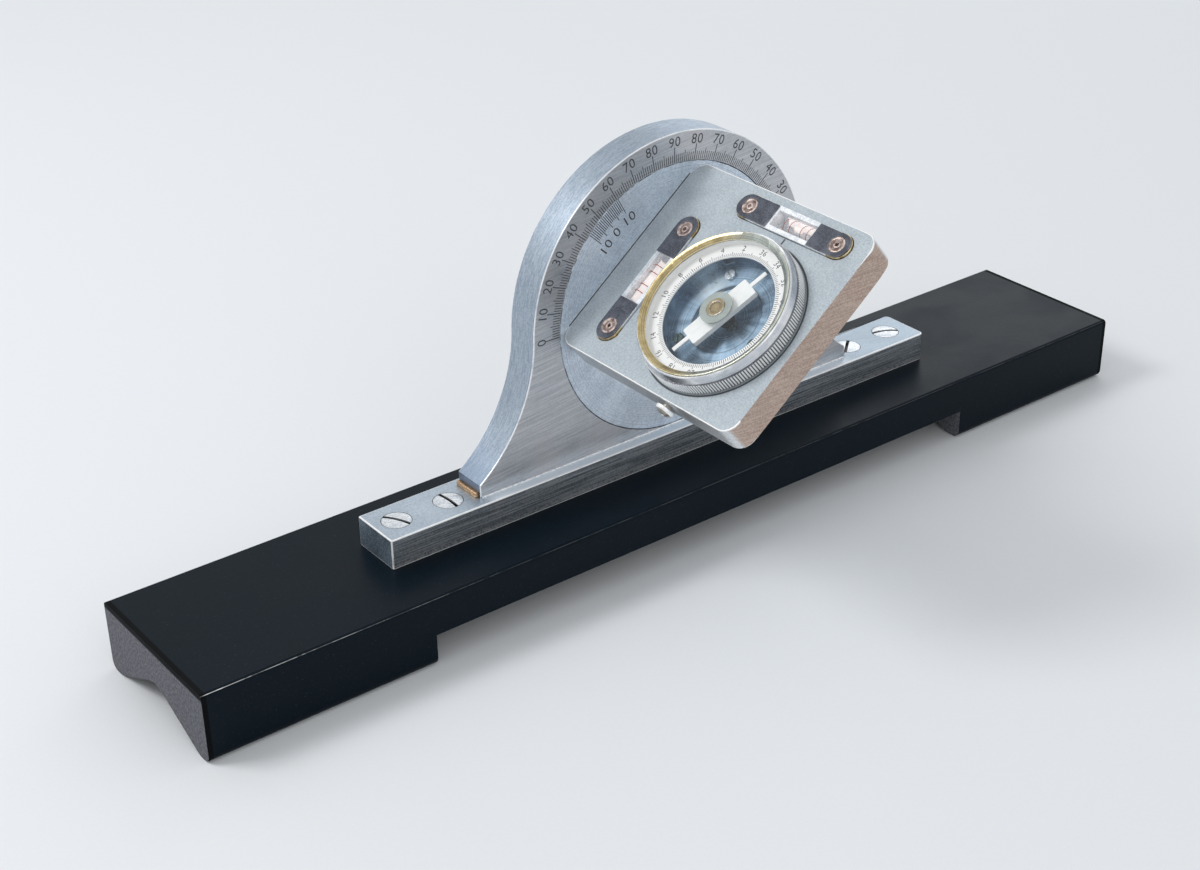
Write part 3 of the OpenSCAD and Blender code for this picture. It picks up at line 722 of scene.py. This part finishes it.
# %% [markdown]
# ## Compass plate
# Bead blasting gives its top an even, pale grain with a blue cast. The sides were only
# machined, so the outer one is warm and streaked, and its edges carry a painted highlight as
# bright lines. Again the direction of a face picks its tone. A dark line on the top, found by
# its distance from the ring's axle, is the narrow gap round the ring, a dark joint with
# painted shadow from the ring.

# %% Compass plate metal
head = Finish("head_metal")
head_top = head.facing(out_of_plate)
blast = grains(head, 0.55, 3.0)
blast_patch = stains(head, 11.0)
head_strokes = head.noise(1.0, 3.0, 0.6, vector=head.position() * (90.0, 90.0, 2400.0))
# The dark ring round the knurled ring is a dark joint with painted shadow under the ring.
ring_gap_painted_shadow = radius_from(head, ring_axle, out_of_plate).band(28.0, 28.15, 28.6, 28.85)
outer_mask = (head_strokes * 0.5 + blast * 0.5).ramp(0.36, 0.66)
outer_tone = head.blend(outer_mask, (0.40, 0.30, 0.25), (0.62, 0.50, 0.43))
top_tone = head.layers(
    (0.36, 0.41, 0.45),
    ((blast * 0.65 + blast_patch * 0.35).ramp(0.34, 0.66), (0.53, 0.585, 0.625)),
    (ring_gap_painted_shadow * 0.9, (0.03, 0.035, 0.04)),
)
# Painted highlight: a thin white line along the outline's bevels.
head_painted_edge_highlight = head.edge() * stains(head, 5.0).ramp(0.25, 0.5, 0.6, 1.0)
head_colour = head.layers(
    (0.60, 0.63, 0.65),
    ((head_strokes * 0.4 + blast * 0.6).ramp(0.36, 0.66), (0.88, 0.90, 0.92)),
    (head.facing(-to_back), outer_tone),
    (head_top, top_tone),
    (head_painted_edge_highlight, (0.95, 0.95, 0.94)),
)
head_metal = head.surface(
    head_colour,
    blast_patch.spread(0.42, 0.54) + head_top * 0.16 - head_painted_edge_highlight * 0.2,
    (1.0 - head_top * 0.75) * (1.0 - head_painted_edge_highlight * 0.8),
    blast + blast_patch * 0.5,
    0.02,
)

# %% Edges of the compass plate
head_middle = Vector((6.1, 0.5, 0)) * MM
head_core_mm = 37


def compass_outline(edge):
    """The compass plate's outline: a side face there looks away from its middle."""
    to_plate = on_compass.inverted()
    arm = to_plate @ ((edge.verts[0].co + edge.verts[1].co) / 2) - head_middle
    arm.z = 0
    looks = [to_plate.to_3x3() @ face.normal for face in edge.link_faces]
    outward = any(abs(look.z) < 0.5 and look.dot(arm.normalized()) > 0.45 for look in looks)
    return outward and arm.length > head_core_mm * MM


dressed("compass_plate", head_metal, 0.4, only=compass_outline)

# %% [markdown]
# ## Compass bowl and what lies in it
# The bowl's floor was turned and stained a dark blue grey, with a painted sheen that fans
# across its rings. Its far wall has a painted pool of light, the side towards the lamp lies in
# painted shade, and the edge of the well is a dark line of painted shade. One small screw is
# bright and the others are painted dark, as painted shade, and the lever that lifts the needle
# is a dark grey green. All of them keep their imported shapes.

# %% Bowl finishes
well_r_mm = 12.3
bowl = Finish("bowl_metal")
bowl_radius = radius_from(bowl, ring_axle, out_of_plate)
bowl_rings = turned_rings(bowl, bowl_radius, 0.45)
bowl_patch = stains(bowl, 9.0)
bowl_painted_sheen = sheen_from(bowl, ring_axle, 4.0)
well_line_painted_shade = bowl_radius.band(well_r_mm - 0.35, well_r_mm - 0.1, well_r_mm + 0.1, well_r_mm + 0.35)


def on_bowl(degrees, radius_mm):
    """A point of the bowl, by its angle and its distance from the ring's axle."""
    return on_compass @ turn(degrees) @ Vector((radius_mm * MM, 0, 0))


bowl_tone = bowl.layers(
    (0.085, 0.145, 0.21),
    ((bowl_rings * 0.35 + bowl_painted_sheen * 0.4 + bowl_patch * 0.25).ramp(0.38, 0.64), (0.34, 0.47, 0.60)),
    # A painted pool of light on the far wall.
    (bowl.near(on_bowl(62, 15.5), 2.0, 9.0) * 0.55, (0.62, 0.70, 0.74)),
    # Painted shade on the side towards the lamp.
    (bowl.near(on_bowl(190, 18.5), 2.0, 8.0) * 0.6, (0.02, 0.035, 0.05)),
    # Painted shade along the edge of the well.
    (well_line_painted_shade * 0.7, (0.02, 0.03, 0.045)),
)
bowl_metal = bowl.surface(bowl_tone, bowl_patch.spread(0.24, 0.36), 0.9, bowl_rings, 0.03)
pivot_metal = turned_metal("pivot_metal", (0.40, 0.40, 0.38), (0.58, 0.57, 0.53), ring_axle, out_of_plate,
                           0.3)
lever_metal = scuffed_metal("lever_metal", (0.03, 0.045, 0.04), (0.09, 0.11, 0.10),
                            lambda f: brushed(f, 6.0, 0.3), 0.4, (0.4, 0.5), wear=0.2)
dressed("compass_bowl", bowl_metal, 0.12, 1)

# %% Bowl screws
small = Finish("small_screw")
unshaded_screw = small.near(on_bowl(36, 16.4), 4.0, 4.5)
small_grain = grains(small, 0.35, 3.0)
small_mask = small_grain.ramp(0.4, 0.6)
# The screws are painted dark, as painted shade, all but the one at 36 degrees, whose rim has a painted highlight.
screw_tone_with_painted_light = small.layers(
    (0.025, 0.05, 0.05),
    (small_mask, (0.10, 0.15, 0.15)),
    (unshaded_screw, small.blend(small_mask, (0.45, 0.52, 0.58), (0.80, 0.85, 0.88))),
    (small.edge() * unshaded_screw * 0.9, (0.95, 0.97, 0.98)),
)
dressed("bowl_screws", small.surface(screw_tone_with_painted_light, 0.25, 0.9, small_grain, 0.01), 0.2)
for node in ("needle_pivot", "ring_retainer", "lifter_pin"):
    painted(node, pivot_metal)
painted("needle_lifter", lever_metal)

# %% [markdown]
# ## Knurled ring, rim and dial
# The ring's crown is polished. Its teeth are painted white as a painted highlight, and their
# valleys near black as dirt and painted shade, which is what makes them read as fine black and
# white teeth; a painted sheen fans over the crown. The valleys are found by their distance
# from the ring's axle, and the seam over them, dark with painted shade, by its height. The rim
# is brass, painted golden on one side and pale on the other, as painted light. The dial is
# white enamel that has yellowed a little.

# %% Knurled ring
knurl = Finish("knurl_metal")
knurl_radius = radius_from(knurl, ring_axle, out_of_plate)
knurl_height = (knurl.position() - ring_axle).measure("DOT_PRODUCT", out_of_plate)
on_teeth = knurl_height.short_of(4.7, 4.85)
in_valley = knurl_radius.short_of(27.6, 27.82) * on_teeth
seam_painted_shade = knurl_height.band(4.75, 4.85, 5.15, 5.3)
knurl_rings = turned_rings(knurl, knurl_height, 0.25)
knurl_patch = stains(knurl, 9.0)
knurl_tone = knurl.layers(
    (0.50, 0.52, 0.56),
    ((knurl_rings * 0.5 + knurl_patch * 0.5).ramp(0.35, 0.65), (0.78, 0.80, 0.84)),
    # Painted highlight: the teeth white.
    (on_teeth * 0.9, (0.97, 0.97, 0.97)),
    # A painted sheen fanning over the crown.
    (sheen_from(knurl, ring_axle, 4.0).ramp(0.45, 0.65) * 0.6, (0.97, 0.97, 0.97)),
    # The valleys dark as dirt and painted shade, and the seam dark as painted shade.
    (in_valley * 0.95 + seam_painted_shade * 0.6, (0.02, 0.022, 0.03)),
)
knurl_rough = knurl_patch.spread(0.2, 0.32) + on_teeth * 0.1
painted("knurled_ring", knurl.surface(knurl_tone, knurl_rough, 0.9 - on_teeth * 0.5, knurl_rings, 0.008))

# %% Brass rim
rim = Finish("rim_brass")
rim_rings = turned_rings(rim, radius_from(rim, ring_axle, out_of_plate), 0.3)
rim_stain = stains(rim, 4.0)
rim_mask = (rim_rings * 0.7 + rim_stain * 0.3).ramp(0.36, 0.62)
# Painted light: one side of the rim painted gold and the other pale, as its brass looks in the light.
rim_gold_painted_side = rim.blend(rim_mask, (0.25, 0.19, 0.085), (0.64, 0.53, 0.30))
rim_pale_painted_side = rim.blend(rim_mask, (0.30, 0.33, 0.30), (0.60, 0.64, 0.60))
painted_gold_direction = (on_compass.to_3x3() @ Vector((-0.4, 0.92, 0))).normalized()
painted_gold_side_mask = (rim.position() - ring_axle).measure("DOT_PRODUCT", painted_gold_direction).past(-8, 8)
rim_colour = rim.layers(rim_pale_painted_side, (painted_gold_side_mask, rim_gold_painted_side), (rim.edge() * 0.5, (0.85, 0.80, 0.62)))
rim_brass = rim.surface(rim_colour, rim_stain.spread(0.2, 0.34), 1.0, rim_rings, 0.012)
dressed("brass_rim", rim_brass, 0.1)

# %% Dial enamel
dial = Finish("dial_white")
dial_age = stains(dial, 7.0)
dial_fleck = grains(dial, 0.5)
dial_mask = (dial_age * 0.7 + dial_fleck * 0.3).ramp(0.5, 0.8)
dial_tone = dial.blend(dial_mask, (0.96, 0.96, 0.95), (0.88, 0.88, 0.84))
dial_white = dial.surface(dial_tone, dial_age.spread(0.3, 0.45), 0.0, dial_fleck, 0.01)
dressed("azimuth_dial", dial_white, 0.08, 1)

# %% [markdown]
# ## Glass
# A flat cover glass only shows as a faint mirror that grows at grazing angles. So its
# surface is a clear mirror whose alpha is the Fresnel share, which gives that look without
# noise or dark shadows. The ampoules, the spirit and the clear hub are made the same way,
# with a little colour of their own. The spirit also has a faint glow, which stands for the
# light that a tube of spirit gathers.

# %% Glass finishes
def clear_skin(name, tint, least, most, rough=0.05, metallic=1.0, glow=0.0):
    """A clear thin skin: least of it shows face on, and most of it at the edge."""
    finish = Finish(name)
    tilted = finish.add("ShaderNodeLayerWeight", None, {"Blend": 0.5}, "Facing")
    squared = tilted * tilted
    rise = squared * squared * tilted + 0.02
    alpha = rise * most + finish.noise(160.0).ramp(0.4, 0.8, least * 0.8, least)
    return finish.surface(tint, rough, metallic, Alpha=alpha, Emission_Color=tint, Emission_Strength=glow)


tube_skin = clear_skin("vial_glass", (0.93, 0.97, 0.97), 0.01, 0.3)
spirit_skin = clear_skin("vial_spirit", (0.99, 0.90, 0.87), 0.97, 0.3, 0.15, 0.0, 0.35)
hub_skin = clear_skin("hub_clear", (0.46, 0.52, 0.49), 0.85, 0.6, 0.2, 0.0)
painted("cover_glass", clear_skin("cover_glass", (0.95, 0.98, 1.0), 0.01, 1.0))
for vial in ("vial_1", "vial_2"):
    painted(vial + "_ampoule", tube_skin)
    painted(vial + "_spirit", spirit_skin)

# %% [markdown]
# ## Needle
# The needle's bar is steel under white paint, brighter than the dial, and the paint has worn
# a little at its edges. Its cap is brass, and a clear disc lies between.

# %% Needle finishes
needle = Finish("needle_white")
paint_wear = needle.edge() * grains(needle, 1.2).ramp(0.5, 0.6)
paint_tone = needle.layers(
    (0.96, 0.97, 0.96),
    (grains(needle, 2.5).ramp(0.4, 0.7), (0.88, 0.91, 0.91)),
    (paint_wear * 0.3, (0.5, 0.5, 0.5)),
)
needle_white = needle.surface(paint_tone, 0.32, 0.0, grains(needle, 0.8), 0.01)
dressed("needle_bar", needle_white, 0.15)
cap_brass = turned_metal("cap_brass", (0.12, 0.09, 0.045), (0.36, 0.29, 0.17), ring_axle, out_of_plate, 0.6)
painted("needle_hub", hub_skin)
dressed("needle_cap", cap_brass, 0.1, 1)

# %% [markdown]
# ## Vials
# Each vial lies in a brass tray under two dark clips with brown brass screws. The tray shows
# as a thin bright crescent round the clips, and its middle, in the window between them, is
# tinned. A screw's rings, and its centre and groove darkened with painted shade, are drawn
# from the distance to the nearest of the four screws; its rim carries a painted highlight.

# %% Vial places
vial_frames = {
    "vial_1": on_compass @ along(0, 37.3, 0),
    "vial_2": on_compass @ along(36.2, 0.3, 0) @ turn(90),
}
clip_screw_r_mm = 2.9


def screw_places(vial):
    """The middles of a vial's two screw heads."""
    to_vial = vial_frames[vial].inverted()
    spots = [to_vial @ v.co for v in nodes[vial + "_screws"].data.vertices]
    out = max(p.x for p in spots) - clip_screw_r_mm * MM
    return [vial_frames[vial] @ Vector((side * out, 0, max(p.z for p in spots))) for side in (-1, 1)]


clip_screw_at = screw_places("vial_1") + screw_places("vial_2")
print("clip screws", len(clip_screw_at))

# %% Tray
tray = Finish("tray_brass")
tray_window = sum(tray.near(spot.translation, 18.5, 19.5) for spot in vial_frames.values())
tray_grain = grains(tray, 0.5)
tray_stain = stains(tray, 3.0)
gold_mask = (tray_grain * 0.4 + tray_stain * 0.6).ramp(0.38, 0.6)
tray_gold = tray.blend(gold_mask, (0.40, 0.27, 0.12), (0.82, 0.68, 0.42))
tin_mask = (tray_grain * 0.6 + tray_stain * 0.4).ramp(0.38, 0.6)
tray_tin = tray.blend(tin_mask, (0.66, 0.70, 0.75), (0.93, 0.95, 0.97))
tray_brass = tray.surface(tray.blend(tray_window, tray_gold, tray_tin), tray_stain.spread(0.28, 0.42),
                          1.0 - tray_window * 0.6, tray_grain, 0.01)

# %% Screws of the clips
clip_screw = Finish("clip_screw")
screw_r = 1.0
for spot in clip_screw_at:
    screw_r = clip_screw.position().measure("DISTANCE", spot).under(screw_r)
clip_rings = turned_rings(clip_screw, screw_r, 0.55)
clip_stain = stains(clip_screw, 1.6)
clip_screw_tone = clip_screw.layers(
    (0.17, 0.115, 0.10),
    ((clip_rings * 0.5 + clip_stain * 0.5).ramp(0.38, 0.6), (0.62, 0.50, 0.46)),
    # Painted shade at the head's centre.
    (screw_r.short_of(0.45, 0.8) * 0.9, (0.02, 0.015, 0.015)),
    # Painted shade in the ring groove of the head.
    (screw_r.band(1.2, 1.35, 1.8, 2.0) * 0.5, (0.10, 0.07, 0.06)),
    # A painted highlight on the rim.
    (clip_screw.edge() * 0.5, (0.80, 0.72, 0.66)),
)
clip_screw_metal = clip_screw.surface(clip_screw_tone, clip_stain.spread(0.25, 0.4), 1.0, clip_rings, 0.03)

# %% Clips
clip = Finish("clip_dark")
clip_grain = grains(clip, 0.45, 3.0)
clip_patch = stains(clip, 5.0)
clip_tone = clip.layers(
    (0.026, 0.031, 0.045),
    ((clip_grain * 0.5 + clip_patch * 0.5).ramp(0.38, 0.64), (0.105, 0.115, 0.15)),
    (clip.edge() * clip_patch.ramp(0.35, 0.6) * 0.7, (0.3, 0.31, 0.34)),
)
clip_dark = clip.surface(clip_tone, clip_patch.spread(0.42, 0.55), 0.2, clip_grain, 0.015)
for vial in vial_frames:
    dressed(vial + "_tray", tray_brass, 0.12, 1)
    dressed(vial + "_clips", clip_dark, 0.15)
    dressed(vial + "_screws", clip_screw_metal, 0.06, 1)

# %% [markdown]
# ## Lock screw
# A slotted screw with a domed head, in the side of the compass plate. Its head was turned,
# and its rim and its middle carry painted highlights, so both are found from its own axle.

# %% Lock screw
lock_at = Vector(joints["lock_turn"]["pos_m"])
lock_head_r = max((v.co - lock_at).cross(across_plate).length for v in nodes["lock_screw"].data.vertices)
print("lock screw head radius", round(lock_head_r / MM, 2), "mm")
lock = Finish("lock_metal")
lock_r = radius_from(lock, lock_at, across_plate)
lock_rings = turned_rings(lock, lock_r, 0.3)
lock_rim_painted_highlight = lock_r.ramp(lock_head_r * 0.8, lock_head_r * 0.87)
lock_middle_painted_highlight = lock_r.ramp(lock_head_r * 0.2, lock_head_r * 0.3, 1.0, 0.0)
lock_tone = lock.layers(
    (0.24, 0.23, 0.21),
    (lock_rings.ramp(0.35, 0.65), (0.52, 0.50, 0.46)),
    # Painted highlights on the rim and the middle of the head.
    (lock_rim_painted_highlight + lock_middle_painted_highlight, (0.97, 0.97, 0.95)),
)
dressed("lock_screw", lock.surface(lock_tone, 0.35, 0.45, lock_rings, 0.01), 0.35, 3)

# %% [markdown]
# ## Engraving
# An engraved line is a groove filled with black wax. At this scale it is drawn best as a
# thin dark bar that lies a hundredth of a millimetre proud of the metal: a box of twelve
# triangles, made once and turned about the axle for each division. Numbers are text made
# into a mesh before they are placed. They are plain digits.

# %% Black wax
engraving_wax = speckled("engraving_wax", 0.35, 2.0, (0.4, 0.7), (0.03, 0.033, 0.038), (0.085, 0.09, 0.10),
                         0.6)
proud_mm = 0.012
mark_t_mm = 0.05


def add_block(bm, size, at, on_face=Matrix()):
    """A box of a size about a point of a face, both in metres."""
    at_place = on_face @ Matrix.Translation(at)
    bmesh.ops.create_cube(bm, size=1.0, matrix=at_place @ Matrix.Diagonal((*size, 1)))


def add_bar(bm, on_face, inner_mm, outer_mm, width_mm):
    """One tick from inner_mm to outer_mm along y of its face."""
    size = Vector((width_mm, outer_mm - inner_mm, mark_t_mm)) * MM
    add_block(bm, size, Vector((0, (inner_mm + outer_mm) / 2, proud_mm - mark_t_mm / 2)) * MM, on_face)


def tick_ring(name, on_face, body, ticks, height_mm=0.0):
    """Ticks, each (degrees from up, inner radius, outer radius, width), round a face's axle."""
    bm = bmesh.new()
    for degrees, inner_mm, outer_mm, width_mm in ticks:
        add_bar(bm, on_face @ along(z=height_mm) @ turn(degrees), inner_mm, outer_mm, width_mm)
    print(name, len(ticks), "ticks")
    show(bm, name, engraving_wax, body)


# %% Numbers
digit_meshes = {}


def digits(text):
    """A flat-backed mesh of a number, one unit high, centred on the origin."""
    if text not in digit_meshes:
        curve = bpy.data.curves.new("digits_" + text, "FONT")
        curve.body = text
        curve.align_x = "CENTER"
        curve.resolution_u = 3
        curve.extrude = 0.5
        curve.space_character = 1.08
        holder = bpy.data.objects.new("digits_" + text, curve)
        bpy.context.scene.collection.objects.link(holder)
        bpy.context.view_layer.update()
        seen_now = holder.evaluated_get(bpy.context.evaluated_depsgraph_get())
        digit_meshes[text] = bpy.data.meshes.new_from_object(seen_now)
        bpy.data.objects.remove(holder)
    return digit_meshes[text]


zero_y = [v.co.y for v in digits("0").vertices]
zero_tall = max(zero_y) - min(zero_y)
zero_middle = (max(zero_y) + min(zero_y)) / 2
print("a zero is", round(zero_tall, 3), "high")


def number_ring(name, on_face, body, labels, radius_mm, high_mm, height_mm=0.0, squeeze=1.0):
    """Numbers, each (degrees from up, text), with their tops outward."""
    bm = bmesh.new()
    unit = high_mm / zero_tall * MM
    size = Matrix.Diagonal((unit * squeeze, unit, mark_t_mm * MM, 1))
    lift = Matrix.Translation((0, -zero_middle, 0))
    for degrees, text in labels:
        start = len(bm.verts)
        bm.from_mesh(digits(text))
        bm.verts.ensure_lookup_table()
        spot = on_face @ along(z=height_mm) @ turn(degrees) @ along(y=radius_mm, z=proud_mm - mark_t_mm / 2)
        bmesh.ops.transform(bm, matrix=spot @ size @ lift, verts=bm.verts[start:])
    bmesh.ops.remove_doubles(bm, verts=bm.verts[:], dist=0.0005 * MM)
    print(name, len(labels), "numbers,", len(bm.faces), "faces")
    show(bm, name, engraving_wax, body)


# %% [markdown]
# ## The scale on the protractor plate
# Ninety degrees to each side of the top, a line for every degree, longer at five and ten.
# The rule for a scale like this is that zero lies where the compass plate stands along the
# bar, at both ends, and ninety at the top.

# %% Scale
scale_in_mm = 48.35
scale_ticks = []
for degree in range(-90, 91):
    reach = 5.4 if degree % 10 == 0 else 3.7 if degree % 5 == 0 else 2.8
    scale_ticks.append((degree, scale_in_mm, scale_in_mm + reach, 0.34 if degree % 10 == 0 else 0.27))
scale_labels = [(degree, str(90 - abs(degree))) for degree in range(-90, 91, 10)]
tick_ring("scale_marks", on_protractor, "base", scale_ticks)
number_ring("scale_numbers", on_protractor, "base", scale_labels, 55.5, 3.4)

# %% [markdown]
# ## The vernier on the disc
# Ten divisions to each side of its zero take up nine degrees, so each is nine tenths of a
# degree. Its zero points along the compass plate's upright.

# %% Vernier
vernier_out_mm = 47.8
vernier_step_deg = 0.9
vernier_ticks = []
for division in range(-10, 11):
    reach = 6.4 if division % 5 == 0 else 4.8
    vernier_ticks.append((division * vernier_step_deg, vernier_out_mm - reach, vernier_out_mm, 0.3))
vernier_labels = [(division * vernier_step_deg, str(abs(division))) for division in (10, 0, -10)]
tick_ring("vernier_marks", on_disc, "disc", vernier_ticks)
number_ring("vernier_numbers", on_disc, "disc", vernier_labels, 38.9, 3.4, squeeze=1.12)

# %% [markdown]
# ## The dial's divisions
# The dial is read against the index line on the compass plate. It is numbered in tens of
# degrees, anticlockwise, as a compass is whose dial turns with the sight.

# %% Dial
dial_top_mm = 4.4
dial_zero_deg = -91.5
dial_start_mm = 19.8
dial_ticks = []
for degree in range(0, 360, 2):
    reach = 1.7 if degree % 10 == 0 else 1.1
    dial_ticks.append((dial_zero_deg + degree, dial_start_mm, dial_start_mm + reach, 0.2))
dial_labels = [(dial_zero_deg + 20 * i, str(2 * i) if i else "36") for i in range(18)]
tick_ring("dial_marks", on_compass, "azimuth_ring", dial_ticks, dial_top_mm)
number_ring("dial_numbers", on_compass, "azimuth_ring", dial_labels, 22.75, 1.9, dial_top_mm)

# %% Index line
index_bm = bmesh.new()
add_bar(index_bm, on_compass @ turn(-90), 28.7, 31.3, 0.6)
show(index_bm, "index_line", engraving_wax, "disc")

# %% [markdown]
# ## Lines on the vials
# Each vial has two pairs of red lines round its tube, finer on the second. They are rings of
# small section, spun part of the way round. A lining lies under each tube, so that the
# spirit shows pale. It is white with a pink cast, and has a faint painted glow, as the spirit
# does, which stands for the light that a tube of spirit gathers.

# %% Red print and lining
red_print = Finish("vial_red")
red_fleck = grains(red_print, 0.3)
red_tone = red_print.blend(red_fleck, (0.30, 0.075, 0.05), (0.45, 0.16, 0.11))
vial_red = red_print.surface(red_tone, 0.45, 0.0, red_fleck, 0.01)
lining = Finish("vial_lining")
lining_fleck = grains(lining, 1.1)
lining_tone = lining.blend(lining_fleck.ramp(0.35, 0.7), (0.96, 0.92, 0.92), (0.95, 0.82, 0.80))
# The lining's faint glow is painted light, standing for the light that a tube of spirit gathers.
vial_lining = lining.surface(
    lining_tone, 0.5, 0.0, lining_fleck, 0.02, Emission_Color=lining_tone, Emission_Strength=0.5,
)

# %% Vial lines and linings
vial_axis_mm = -1.85
tube_r_mm = 2.6


def half_tube(bm, at_mm, long_mm, radius_mm, thick_mm, start_deg, sweep_deg, steps):
    """A strip spun part of the way round the x axis."""
    half = long_mm / 2
    corners = ((-half, 0), (half, 0), (half, thick_mm), (-half, thick_mm))
    ring = [bm.verts.new(Vector((at_mm + dx, radius_mm + dr, 0)) * MM) for dx, dr in corners]
    face = bm.faces.new(ring)
    start = Matrix.Rotation(math.radians(start_deg), 3, "X")
    bmesh.ops.rotate(bm, verts=ring, cent=(0, 0, 0), matrix=start)
    sweep = math.radians(sweep_deg)
    bmesh.ops.spin(bm, geom=[face], cent=(0, 0, 0), axis=(1, 0, 0), angle=sweep, steps=steps)


def vial_piece(name, vial, strips, material):
    bm = bmesh.new()
    for strip in strips:
        half_tube(bm, *strip)
    bmesh.ops.remove_doubles(bm, verts=bm.verts[:], dist=0.0005 * MM)
    bmesh.ops.recalc_face_normals(bm, faces=bm.faces[:])
    bmesh.ops.transform(bm, matrix=vial_frames[vial] @ along(z=vial_axis_mm), verts=bm.verts[:])
    mark_sharp(bm)
    show(bm, name, material, "disc")
    print(name, len(strips), "strips")


for vial, line_mm, places_mm in (
    ("vial_1", 0.32, (-5.2, -2.5, 2.5, 5.2)),
    ("vial_2", 0.26, (-6.9, -4.2, 0.8, 3.4)),
):
    lines = [(x, line_mm, tube_r_mm + 0.005, 0.03, 20, 140, 14) for x in places_mm]
    vial_piece(vial + "_lines", vial, lines, vial_red)
for vial, tube_at_mm in (("vial_1", 0), ("vial_2", -1.75)):
    whole = (tube_at_mm, 16.0, tube_r_mm + 0.02, 0.12, 182, 176, 24)
    vial_piece(vial + "_lining", vial, [whole], vial_lining)

# %% [markdown]
# ## The braze at the plate's foot
# The plate was brazed on the rail. A bead of copper shows at its toe, and a bright fillet
# along its front, where the filler ran into the corner. Both are small rounded bars, so each
# is made from a cube whose edges are bevelled round.

# %% Braze beads
braze_copper = speckled("braze_copper", 0.8, 4.0, (0.35, 0.65), (0.30, 0.17, 0.09), (0.66, 0.45, 0.27), 0.34,
                        1.0, 0.06)
foot_middle = (foot_low + foot_high) / 2
foot_size = foot_high - foot_low
bead_size = Vector((1.6 * MM, foot_size.y - 1.2 * MM, 1.9 * MM))
bead_bm = bmesh.new()
for toe_x, side in ((foot_low.x, -1), (foot_high.x, 1)):
    bead_at = (toe_x + side * 0.55 * MM, foot_middle.y + 0.3 * MM, foot_low.z + 0.7 * MM)
    add_block(bead_bm, bead_size, bead_at)
round_off(bead_bm, bead_bm.edges[:], 0.55, 4)
mark_sharp(bead_bm, 60)
show(bead_bm, "braze_bead", braze_copper, "base")
print("bead", round(bead_size.y / MM, 2), "mm long")

# %% Fillet along the foot
solder_bright = speckled("solder_bright", 1.0, 4.0, (0.35, 0.6), (0.62, 0.66, 0.70), (0.95, 0.96, 0.97), 0.25,
                         0.6, 0.04)
fillet_size = Vector((foot_size.x - 1.0 * MM, 0.9 * MM, 0.7 * MM))
fillet_bm = bmesh.new()
add_block(fillet_bm, fillet_size, (foot_middle.x, foot_low.y - 0.2 * MM, foot_low.z + 0.15 * MM))
round_off(fillet_bm, fillet_bm.edges[:], 0.3, 3)
mark_sharp(fillet_bm, 60)
show(fillet_bm, "foot_fillet", solder_bright, "base")
print("fillet", round(fillet_size.x / MM, 2), "mm long")

# %% [markdown]
# ## The joint between the disc and the compass plate
# The compass plate's end is screwed against the disc, and a thin dark line shows where they
# meet. It is one more bar, laid on the disc along the top of the plate.

# %% Joint line
joint_up_mm = (ring_axle - disc_axle).dot(out_of_plate) / MM
joint_bm = bmesh.new()
add_bar(joint_bm, on_disc @ turn(-90) @ along(x=-joint_up_mm - 0.12), -33.0, 32.1, 0.45)
show(joint_bm, "joint_line", engraving_wax, "disc")
print("joint line", round(joint_up_mm, 2), "mm from the disc's axle")
